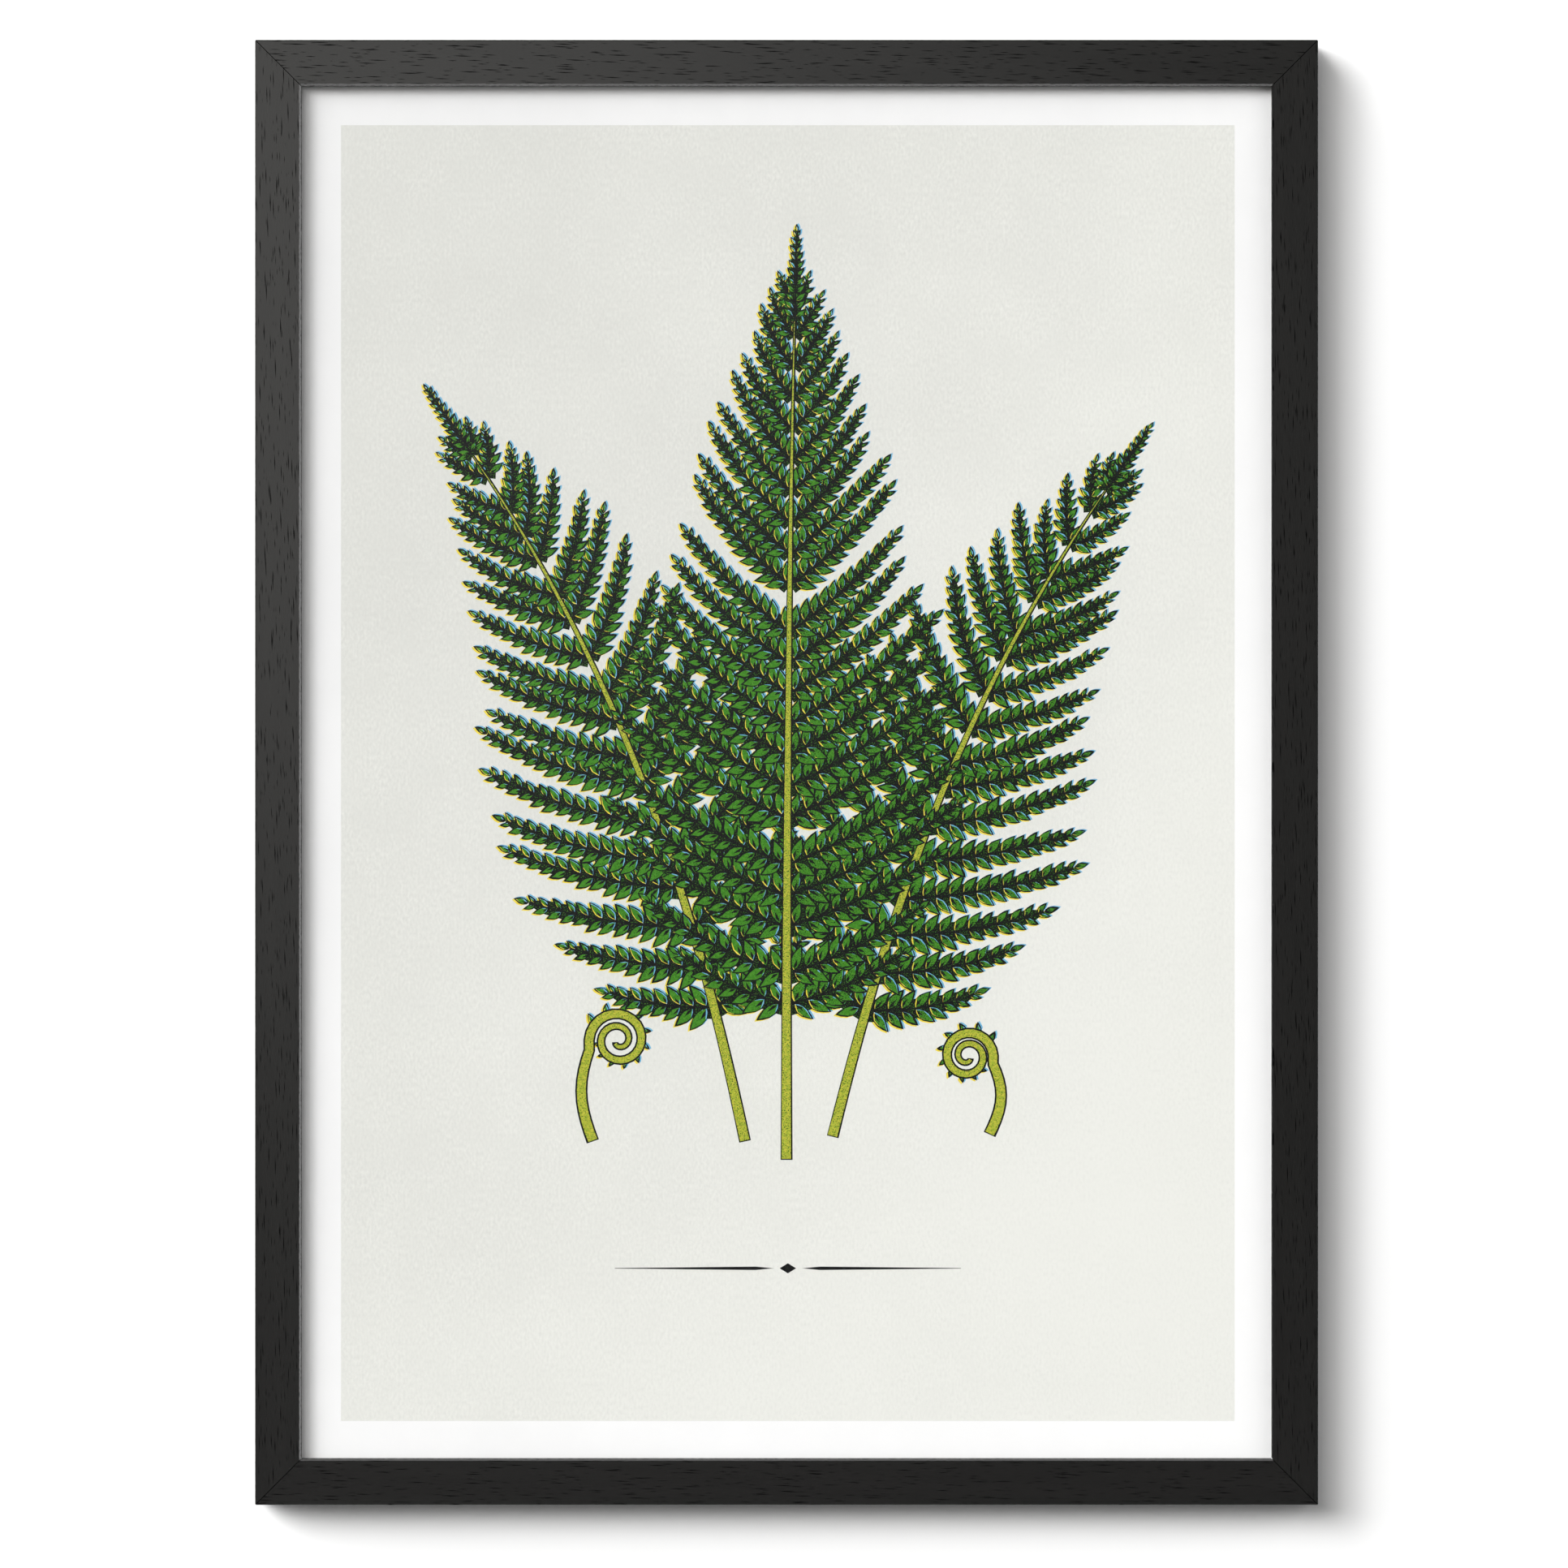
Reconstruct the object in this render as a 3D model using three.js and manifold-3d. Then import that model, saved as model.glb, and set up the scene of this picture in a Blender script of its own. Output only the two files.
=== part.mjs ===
// A framed print for a wall. A black open-grain timber moulding is mitred round clear glazing,
// a printed sheet, an undermount card and a fibreboard back. Steel points in the rebate hold the
// back in, and a saw-tooth hanger and two bumpers lie against the wall.
// Millimetres, +Z up, +X to the viewer's right, and the print faces -Y. The origin is the middle
// of the hanger's raised rear face, the flat that lies on the wall.

import * as THREE from 'three';
import { mergeVertices } from 'three/addons/utils/BufferGeometryUtils.js';
import Module from 'manifold-3d';

const wasm = await Module();
wasm.setup();

// Driving dimensions of the moulding
const SIGHT_WIDTH = 420; // the opening seen from the front, an A2 sheet
const SIGHT_HEIGHT = 594;
const FACE_WIDTH = 20;
const MOULDING_DEPTH = 23;
const REBATE_WIDTH = 5;
const LIP_THICKNESS = 5;
const SIGHT_CHAMFER = 0.5;
const OUTER_ARRIS = 0.5;
const REAR_ARRIS = 0.4;
const MITRE_GAP = 0.3;

// Driving dimensions of what the rebate holds, from the lip to the rear
const CLEARANCE = 0.3; // between pieces that touch on the real frame
const REBATE_PLAY = 1; // between each sheet's edge and the rebate wall
const GLAZING_THICKNESS = 2;
const SHEET_THICKNESS = 0.3;
const CARD_THICKNESS = 1.5;
const BOARD_THICKNESS = 3;

// Driving dimensions of the steel points
const POINT_LENGTH = 12;
const POINT_WIDTH = 5.5;
const POINT_THICKNESS = 0.5;
const POINTS_PER_STILE = 3;
const POINTS_PER_RAIL = 2;

// Driving dimensions of the hanger and its nails
const STANDOFF = 2.5; // from the moulding's rear face to the wall
const HANGER_DROP = 7.5; // from the frame's top edge down to the hanger's middle
const HANGER_LENGTH = 45;
const HANGER_HEIGHT = 10;
const HANGER_THICKNESS = 0.8;
const HANGER_FOOT = 9;
const HANGER_RAMP = 2.5;
const TOOTH_COUNT = 7;
const TOOTH_PITCH = 2.8;
const TOOTH_DEPTH = 2;
const NAIL_INSET = 4.5; // from the hanger's end to its nail
const NAIL_RADIUS = 0.75;
const NAIL_HEAD_RADIUS = 1.7;
const NAIL_HEAD_HEIGHT = 0.6;
const NAIL_LENGTH = 10;
const NAIL_TIP = 1.6;

// Driving dimensions of the bumpers
const BUMPER_RADIUS = 5;
const BUMPER_DRAFT = 0.6;
const BUMPER_INSET = 14; // from the frame's side to the bumper's middle

// Worked out from the sizes above
const OUTER_WIDTH = SIGHT_WIDTH + 2 * FACE_WIDTH;
const OUTER_HEIGHT = SIGHT_HEIGHT + 2 * FACE_WIDTH;
const REAR_LAND = FACE_WIDTH - REBATE_WIDTH;
const TOP_Z = HANGER_DROP;
const BOTTOM_Z = TOP_Z - OUTER_HEIGHT;
const MIDDLE_Z = (TOP_Z + BOTTOM_Z) / 2;
const REAR_Y = -STANDOFF;
const FRONT_Y = REAR_Y - MOULDING_DEPTH;
const SHEET_WIDTH = SIGHT_WIDTH + 2 * (REBATE_WIDTH - REBATE_PLAY);
const SHEET_HEIGHT = SIGHT_HEIGHT + 2 * (REBATE_WIDTH - REBATE_PLAY);
const NAIL_SPACING = HANGER_LENGTH - 2 * NAIL_INSET;
const HOLE_RADIUS = NAIL_RADIUS + CLEARANCE;
const CURVE_STEPS = 16;

const finishes = {
  timber: { color: 0x2e2e2d, roughness: 0.6, metalness: 0 },
  acrylic: { color: 0xffffff, roughness: 0.04, metalness: 0, transparent: true, opacity: 0.12 },
  paper: { color: 0xf4f4f1, roughness: 0.85, metalness: 0 },
  card: { color: 0xe4e0d4, roughness: 0.9, metalness: 0 },
  fibreboard: { color: 0x8a6844, roughness: 0.8, metalness: 0 },
  steel: { color: 0xa9abad, roughness: 0.4, metalness: 1 },
  zinc: { color: 0xc6c3b6, roughness: 0.35, metalness: 1 },
  rubber: { color: 0x3a3a3a, roughness: 0.8, metalness: 0 },
};

/** Names a closed geometry as one piece of the frame, in its own material. */
function piece(name, geometry, finish) {
  const mesh = new THREE.Mesh(geometry, new THREE.MeshStandardMaterial(finishes[finish]));
  mesh.name = name;
  return mesh;
}

/** A closed geometry as a solid that can be cut. */
function toSolid(geometry) {
  const bare = geometry.clone();
  bare.deleteAttribute('normal');
  bare.deleteAttribute('uv');
  const merged = mergeVertices(bare, 1e-4);
  return new wasm.Manifold(new wasm.Mesh({
    numProp: 3,
    vertProperties: new Float32Array(merged.attributes.position.array),
    triVerts: new Uint32Array(merged.index.array),
  }));
}

/** A geometry with others cut out of it. */
function cut(geometry, cutters) {
  let solid = toSolid(geometry);
  for (const cutter of cutters) {
    solid = solid.subtract(toSolid(cutter));
  }
  const mesh = solid.getMesh();
  const result = new THREE.BufferGeometry();
  result.setAttribute('position', new THREE.BufferAttribute(new Float32Array(mesh.vertProperties), 3));
  result.setIndex(new THREE.BufferAttribute(new Uint32Array(mesh.triVerts), 1));
  result.computeVertexNormals();
  return result;
}

/** A closed outline through corner points. */
function outline(corners) {
  return new THREE.Shape(corners.map(([x, y]) => new THREE.Vector2(x, y)));
}

/** A flat-sided solid of an outline, its thickness along +Z. */
function slab(shape, thickness) {
  return new THREE.ExtrudeGeometry(shape, {
    depth: thickness,
    bevelEnabled: false,
    curveSegments: CURVE_STEPS,
  });
}

// Each side of the frame is built in its own directions. X runs from the outer edge inwards,
// Y from the front face to the rear and Z along the moulding.

/** The moulding's section, with its lip and rebate. */
function mouldingSection() {
  return outline([
    [0, OUTER_ARRIS],
    [OUTER_ARRIS, 0],
    [FACE_WIDTH - SIGHT_CHAMFER, 0],
    [FACE_WIDTH, SIGHT_CHAMFER],
    [FACE_WIDTH, LIP_THICKNESS],
    [REAR_LAND, LIP_THICKNESS],
    [REAR_LAND, MOULDING_DEPTH],
    [REAR_ARRIS, MOULDING_DEPTH],
    [0, MOULDING_DEPTH - REAR_ARRIS],
  ]);
}

/** One length of moulding, cut to 45 degrees at both ends. */
function mitredMoulding(length) {
  const geometry = slab(mouldingSection(), length);
  const position = geometry.attributes.position;
  const retreat = MITRE_GAP / Math.SQRT2;
  for (let i = 0; i < position.count; i++) {
    const set = position.getX(i) + retreat;
    position.setZ(i, position.getZ(i) > length / 2 ? length - set : set);
  }
  geometry.computeVertexNormals();
  return geometry;
}

/** The holes for the hanger's nails, in the rear of the top rail. */
function pilotHoles(length) {
  return [-1, 1].map((side) => {
    const hole = new THREE.CylinderGeometry(HOLE_RADIUS, HOLE_RADIUS, NAIL_LENGTH * 2, CURVE_STEPS);
    return hole.translate(HANGER_DROP, MOULDING_DEPTH, length / 2 + side * NAIL_SPACING / 2);
  });
}

/** One steel point, from the rebate wall over the fibreboard, with a rounded inner end. */
function steelPoint(depth, station) {
  const start = REAR_LAND + CLEARANCE;
  const half = POINT_WIDTH / 2;
  const shape = new THREE.Shape();
  shape.moveTo(start, -half);
  shape.lineTo(start + POINT_LENGTH - half, -half);
  shape.absarc(start + POINT_LENGTH - half, 0, half, -Math.PI / 2, Math.PI / 2, false);
  shape.lineTo(start, half);
  return slab(shape, POINT_THICKNESS).rotateX(Math.PI / 2).translate(0, depth + POINT_THICKNESS, station);
}

/** One side of the frame: its moulding and the points driven into its rebate. */
function side(name, length, quarterTurns, corner, pointCount, pointDepth, holes = []) {
  const group = new THREE.Group();
  group.rotation.y = quarterTurns * Math.PI / 2;
  group.position.copy(corner);
  const moulding = mitredMoulding(length);
  group.add(piece(name, holes.length ? cut(moulding, holes) : moulding, 'timber'));
  for (let i = 0; i < pointCount; i++) {
    const station = length * (i + 0.5) / pointCount;
    group.add(piece(`${name}_point_${i + 1}`, steelPoint(pointDepth, station), 'steel'));
  }
  return group;
}

/** A rectangular sheet that fills the rebate, its front face at a depth behind the frame's face. */
function rebateSheet(name, thickness, depth, finish) {
  const sheet = piece(name, new THREE.BoxGeometry(SHEET_WIDTH, thickness, SHEET_HEIGHT), finish);
  sheet.position.set(0, FRONT_Y + depth + thickness / 2, MIDDLE_Z);
  return sheet;
}

/** The saw-tooth hanger: a strip with flat feet, a raised middle and a toothed lower edge. */
function sawToothHanger() {
  const half = HANGER_LENGTH / 2;
  const footEnd = half - HANGER_FOOT;
  const raised = footEnd - HANGER_RAMP;
  const seat = REAR_Y + CLEARANCE;
  const front = [[-half, seat], [-footEnd, seat], [-raised, -HANGER_THICKNESS]];
  const rear = front.map(([x, y]) => [x, y + HANGER_THICKNESS]);
  const mirror = ([x, y]) => [-x, y];
  const strip = outline([
    ...front,
    ...front.map(mirror).reverse(),
    ...rear.map(mirror),
    ...rear.toReversed(),
  ]);
  const body = slab(strip, HANGER_HEIGHT).translate(0, 0, -HANGER_HEIGHT / 2);
  const cutters = [];
  for (let i = 0; i < TOOTH_COUNT; i++) {
    const x = (i - (TOOTH_COUNT - 1) / 2) * TOOTH_PITCH;
    const low = -HANGER_HEIGHT / 2 - 1;
    const notch = outline([
      [x - TOOTH_PITCH * 0.7, low],
      [x + TOOTH_PITCH * 0.7, low],
      [x, -HANGER_HEIGHT / 2 + TOOTH_DEPTH],
    ]);
    cutters.push(slab(notch, STANDOFF * 4).rotateX(Math.PI / 2).translate(0, STANDOFF * 2, 0));
  }
  for (const end of [-1, 1]) {
    const hole = new THREE.CylinderGeometry(HOLE_RADIUS, HOLE_RADIUS, STANDOFF * 4, CURVE_STEPS);
    cutters.push(hole.translate(end * NAIL_SPACING / 2, 0, 0));
  }
  return piece('hanger_plate', cut(body, cutters), 'zinc');
}

/** A nail through one foot of the hanger, with a low domed head. */
function hangerNail(name, x) {
  const headBase = REAR_Y + CLEARANCE + HANGER_THICKNESS + CLEARANCE;
  const tip = headBase - NAIL_LENGTH;
  const profile = [
    [0, tip],
    [NAIL_RADIUS, tip + NAIL_TIP],
    [NAIL_RADIUS, headBase],
    [NAIL_HEAD_RADIUS, headBase],
    [NAIL_HEAD_RADIUS * 0.9, headBase + NAIL_HEAD_HEIGHT * 0.6],
    [NAIL_HEAD_RADIUS * 0.5, headBase + NAIL_HEAD_HEIGHT * 0.95],
    [0, headBase + NAIL_HEAD_HEIGHT],
  ].map(([radius, y]) => new THREE.Vector2(radius, y));
  const nail = piece(name, new THREE.LatheGeometry(profile, CURVE_STEPS), 'steel');
  nail.position.x = x;
  return nail;
}

/** A rubber bumper on the rear of the bottom rail. */
function bumper(name, x) {
  const profile = [
    [0, REAR_Y + CLEARANCE],
    [BUMPER_RADIUS, REAR_Y + CLEARANCE],
    [BUMPER_RADIUS - BUMPER_DRAFT, 0],
    [0, 0],
  ].map(([radius, y]) => new THREE.Vector2(radius, y));
  const foot = piece(name, new THREE.LatheGeometry(profile, CURVE_STEPS), 'rubber');
  foot.position.set(x, 0, BOTTOM_Z + REAR_LAND / 2);
  return foot;
}

const group = new THREE.Group();

// What the rebate holds, from the lip to the rear
const layers = [
  ['glazing', GLAZING_THICKNESS, 'acrylic'],
  ['print_sheet', SHEET_THICKNESS, 'paper'],
  ['undermount_card', CARD_THICKNESS, 'card'],
  ['backing_board', BOARD_THICKNESS, 'fibreboard'],
];
let depth = LIP_THICKNESS + CLEARANCE;
for (const [name, thickness, finish] of layers) {
  group.add(rebateSheet(name, thickness, depth, finish));
  depth += thickness + CLEARANCE;
}

// The four sides, clockwise from the left as seen from the front
const [left, right] = [-OUTER_WIDTH / 2, OUTER_WIDTH / 2];
const corner = (x, z) => new THREE.Vector3(x, FRONT_Y, z);
group.add(
  side('stile_left', OUTER_HEIGHT, 0, corner(left, BOTTOM_Z), POINTS_PER_STILE, depth),
  side('rail_top', OUTER_WIDTH, 1, corner(left, TOP_Z), POINTS_PER_RAIL, depth, pilotHoles(OUTER_WIDTH)),
  side('stile_right', OUTER_HEIGHT, 2, corner(right, TOP_Z), POINTS_PER_STILE, depth),
  side('rail_bottom', OUTER_WIDTH, 3, corner(right, BOTTOM_Z), POINTS_PER_RAIL, depth),
);

// What lies against the wall
group.add(
  sawToothHanger(),
  hangerNail('hanger_nail_left', -NAIL_SPACING / 2),
  hangerNail('hanger_nail_right', NAIL_SPACING / 2),
  bumper('bumper_left', left + BUMPER_INSET),
  bumper('bumper_right', right - BUMPER_INSET),
);

export default group;
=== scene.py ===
"""The looks of a framed botanical print: moulding, glazing, printed sheet, back and hanger."""

import logging
import math
import random
from collections.abc import Callable, Iterable, Sequence
from dataclasses import dataclass, field
from enum import Enum, IntEnum

import bpy
import numpy as np
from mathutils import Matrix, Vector
from mathutils.geometry import delaunay_2d_cdt


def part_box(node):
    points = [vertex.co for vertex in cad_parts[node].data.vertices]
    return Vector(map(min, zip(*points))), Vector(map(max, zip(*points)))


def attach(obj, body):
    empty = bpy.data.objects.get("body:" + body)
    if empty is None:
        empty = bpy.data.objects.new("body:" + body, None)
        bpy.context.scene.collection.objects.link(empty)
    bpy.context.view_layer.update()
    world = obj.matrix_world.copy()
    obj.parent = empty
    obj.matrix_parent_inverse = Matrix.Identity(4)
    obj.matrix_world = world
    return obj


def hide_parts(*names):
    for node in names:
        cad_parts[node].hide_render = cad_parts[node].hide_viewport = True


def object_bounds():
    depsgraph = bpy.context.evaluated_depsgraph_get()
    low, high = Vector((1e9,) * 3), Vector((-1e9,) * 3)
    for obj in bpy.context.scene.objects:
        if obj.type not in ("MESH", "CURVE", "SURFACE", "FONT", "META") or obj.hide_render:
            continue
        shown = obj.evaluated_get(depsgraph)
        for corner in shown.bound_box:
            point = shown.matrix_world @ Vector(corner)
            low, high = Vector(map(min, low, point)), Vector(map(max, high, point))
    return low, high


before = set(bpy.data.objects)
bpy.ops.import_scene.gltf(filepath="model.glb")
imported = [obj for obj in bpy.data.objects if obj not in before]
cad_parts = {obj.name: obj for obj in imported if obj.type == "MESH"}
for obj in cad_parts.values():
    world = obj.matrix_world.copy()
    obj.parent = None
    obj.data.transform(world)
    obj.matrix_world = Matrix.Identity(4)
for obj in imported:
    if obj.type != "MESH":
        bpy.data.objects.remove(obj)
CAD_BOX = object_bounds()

MM = 0.001
BODY = "root"
PHOTO_PIXELS = 1932
PHOTO_SCALE = 0.35117 * MM  # the real size of one pixel of the photograph at the frame's face

Colour = tuple[float, float, float]
Point = tuple[float, float]
log = logging.getLogger("framed_print")


# Shader maths


@dataclass(frozen=True)
class Tone:
    """A number that varies over a surface. Sums with it add Math nodes to its shader."""

    shader: "Shader"
    socket: bpy.types.NodeSocket

    def _math(self, operation: str, *values: "Tone | float") -> "Tone":
        """Adds one Math node.

        Args:
            operation: the Math node's operation.
            values: its inputs in order.

        Returns:
            The node's result.
        """
        inputs = dict(enumerate(values))
        made = self.shader.node("ShaderNodeMath", {"operation": operation}, inputs)
        return Tone(self.shader, made.outputs[0])

    def __add__(self, other: "Tone | float") -> "Tone":
        """This plus the other."""
        return self._math("ADD", self, other)

    def __radd__(self, other: float) -> "Tone":
        """The other plus this."""
        return self._math("ADD", other, self)

    def __sub__(self, other: "Tone | float") -> "Tone":
        """This less the other."""
        return self._math("SUBTRACT", self, other)

    def __rsub__(self, other: float) -> "Tone":
        """The other less this."""
        return self._math("SUBTRACT", other, self)

    def __mul__(self, other: "Tone | float") -> "Tone":
        """This times the other."""
        return self._math("MULTIPLY", self, other)

    def __rmul__(self, other: float) -> "Tone":
        """The other times this."""
        return self._math("MULTIPLY", other, self)

    def __truediv__(self, other: float) -> "Tone":
        """This divided by a number."""
        return self._math("MULTIPLY", self, 1 / other)

    def or_more(self, other: "Tone | float") -> "Tone":
        """The larger of the two."""
        return self._math("MAXIMUM", self, other)

    def step(self, low: float, high: float) -> "Tone":
        """Makes a soft step.

        Args:
            low: where it is 0.
            high: where it is 1. With low above high it falls instead.

        Returns:
            The step's height.
        """
        made = self.shader.node(
            "ShaderNodeMapRange",
            {"interpolation_type": "SMOOTHSTEP"},
            {"Value": self, "From Min": low, "From Max": high},
        )
        return Tone(self.shader, made.outputs["Result"])


class Shader:
    """One material and the nodes of its surface."""

    def __init__(self, name: str) -> None:
        """Starts a material with a plain surface.

        Args:
            name: the material's name.
        """
        self.material = bpy.data.materials.new(name)
        self.material.use_nodes = True
        self.tree = self.material.node_tree
        self.tree.nodes.clear()
        self.surface = self.node("ShaderNodeBsdfPrincipled")
        shown = {"Surface": self.surface.outputs["BSDF"]}
        self.output = self.node("ShaderNodeOutputMaterial", inputs=shown)

    def node(
        self,
        kind: str,
        settings: dict[str, object] | None = None,
        inputs: dict[str | int, object] | None = None,
    ) -> bpy.types.Node:
        """Adds a node.

        Args:
            kind: the node's type.
            settings: its own settings, which are set first.
            inputs: a value or link for each named or numbered input.

        Returns:
            The node.
        """
        made = self.tree.nodes.new(kind)
        for name, value in (settings or {}).items():
            setattr(made, name, value)
        for name, value in (inputs or {}).items():
            self.put(made.inputs[name], value)
        return made

    def put(self, socket: bpy.types.NodeSocket, value: object) -> None:
        """Links a tone or socket into an input, or sets the input's own value.

        Args:
            socket: the input.
            value: what goes into it.
        """
        if isinstance(value, Tone):
            value = value.socket
        if isinstance(value, bpy.types.NodeSocket):
            self.tree.links.new(value, socket)
        else:
            socket.default_value = value

    def set(self, **inputs: object) -> None:
        """Sets the surface's inputs.

        Args:
            inputs: a value or link for each input. An underscore in a name stands for a space.
        """
        for name, value in inputs.items():
            if isinstance(value, tuple) and len(value) == 3:
                value = (*value, 1)
            self.put(self.surface.inputs[name.replace("_", " ")], value)

    def place(self) -> tuple[Tone, Tone, Tone]:
        """Reads the place on the object.

        Returns:
            The place along X, Y and Z, in millimetres.
        """
        spot = self.node("ShaderNodeTexCoord").outputs["Object"]
        parts = self.node("ShaderNodeSeparateXYZ", inputs={0: spot}).outputs
        x, y, z = (Tone(self, part) * (1 / MM) for part in parts)
        return x, y, z

    def vector(self, x: Tone | float, y: Tone | float, z: Tone | float = 0.0) -> bpy.types.NodeSocket:
        """Three tones as one vector."""
        return self.node("ShaderNodeCombineXYZ", inputs={0: x, 1: y, 2: z}).outputs[0]

    def noise(self, spot: bpy.types.NodeSocket, detail: float = 2.0, rough: float = 0.5) -> Tone:
        """Makes cloudy noise about 0.5, one lump to each unit of the vector.

        Args:
            spot: the place in the noise.
            detail: how many finer layers lie over the lumps.
            rough: how strong each finer layer is.

        Returns:
            The noise.
        """
        inputs = {"Vector": spot, "Scale": 1.0, "Detail": detail, "Roughness": rough}
        made = self.node("ShaderNodeTexNoise", {"noise_dimensions": "3D"}, inputs)
        return Tone(self, made.outputs[0])

    def attribute(self, name: str) -> Tone:
        """A named number of the mesh."""
        return Tone(self, self.node("ShaderNodeAttribute", {"attribute_name": name}).outputs["Fac"])

    def mix(self, share: Tone, first: object, second: object) -> bpy.types.NodeSocket:
        """Makes a colour between two others.

        Args:
            share: 0 gives the first and 1 the second.
            first: a colour or link.
            second: a colour or link.

        Returns:
            The colour's socket.
        """
        ends = [(*end, 1) if isinstance(end, tuple) else end for end in (first, second)]
        inputs = {"Factor": share, 6: ends[0], 7: ends[1]}
        return self.node("ShaderNodeMix", {"data_type": "RGBA"}, inputs).outputs[2]

    def show(self, share: object, first: bpy.types.Node, second: bpy.types.Node) -> None:
        """Shows a mixture of two shaders.

        Args:
            share: a tone or socket. 0 shows the first and 1 the second.
            first: a shader node.
            second: a shader node.
        """
        layers = {0: share, 1: first.outputs[0], 2: second.outputs[0]}
        mixed = self.node("ShaderNodeMixShader", inputs=layers)
        self.put(self.output.inputs["Surface"], mixed.outputs[0])

    def cover(self, share: Tone, colour: Colour, roughness: float) -> None:
        """Lays a coat with no gloss over the surface.

        Args:
            share: 1 where the coat hides the surface and 0 where there is none.
            colour: the coat's colour.
            roughness: the coat's roughness.
        """
        look = {"Base Color": (*colour, 1), "Roughness": roughness, "Specular IOR Level": 0.0}
        self.show(share, self.surface, self.node("ShaderNodeBsdfPrincipled", inputs=look))

    def bump(self, height: Tone, depth: float) -> None:
        """Raises the surface by a tone.

        Args:
            height: from 0 to 1.
            depth: what 1 stands for, in metres.
        """
        inputs = {"Height": height, "Distance": depth, "Strength": 1.0}
        self.set(Normal=self.node("ShaderNodeBump", inputs=inputs).outputs["Normal"])


# Finishes


class Grain(Enum):
    """The way that a length of timber's fibres run."""

    UPRIGHT = "upright"
    LEVEL = "level"


@dataclass(frozen=True)
class Pores:
    """Pores of one size: pointed dashes along the grain, each in a patch of its own."""

    patch: Point  # the patch's width and length, in millimetres
    reach: float  # the largest pore's half-width as a share of its patch
    least: float  # the smallest pore as a share of the largest. Below 0 some patches have none
    shift: float = 0.0
    rim: float = 0.12  # the soft rim as a share of the largest half-width
    shallowest: float = 0.65

    def pattern(self, shader: Shader, across: Tone, along: Tone, seed: float) -> Tone:
        """Lays out the pores.

        Args:
            shader: the material's shader.
            across: the place across the grain.
            along: the place along the grain.
            seed: shifts the pattern.

        Returns:
            The depth: up to 1 in a pore and 0 outside.
        """
        seed += self.shift
        spot = shader.vector(across / self.patch[0] + seed, along / self.patch[1] + seed * 1.7)
        settings = {"voronoi_dimensions": "2D", "distance": "MANHATTAN"}
        cells = shader.node("ShaderNodeTexVoronoi", settings, {"Vector": spot, "Scale": 1.0})
        chance = shader.node("ShaderNodeSeparateColor", inputs={0: cells.outputs["Color"]})
        size = Tone(shader, chance.outputs[0]) * (1 - self.least) + self.least
        depth = Tone(shader, chance.outputs[1]) * (1 - self.shallowest) + self.shallowest
        inside = size * self.reach - Tone(shader, cells.outputs["Distance"])
        return inside.step(0.0, self.reach * self.rim) * depth


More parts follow.
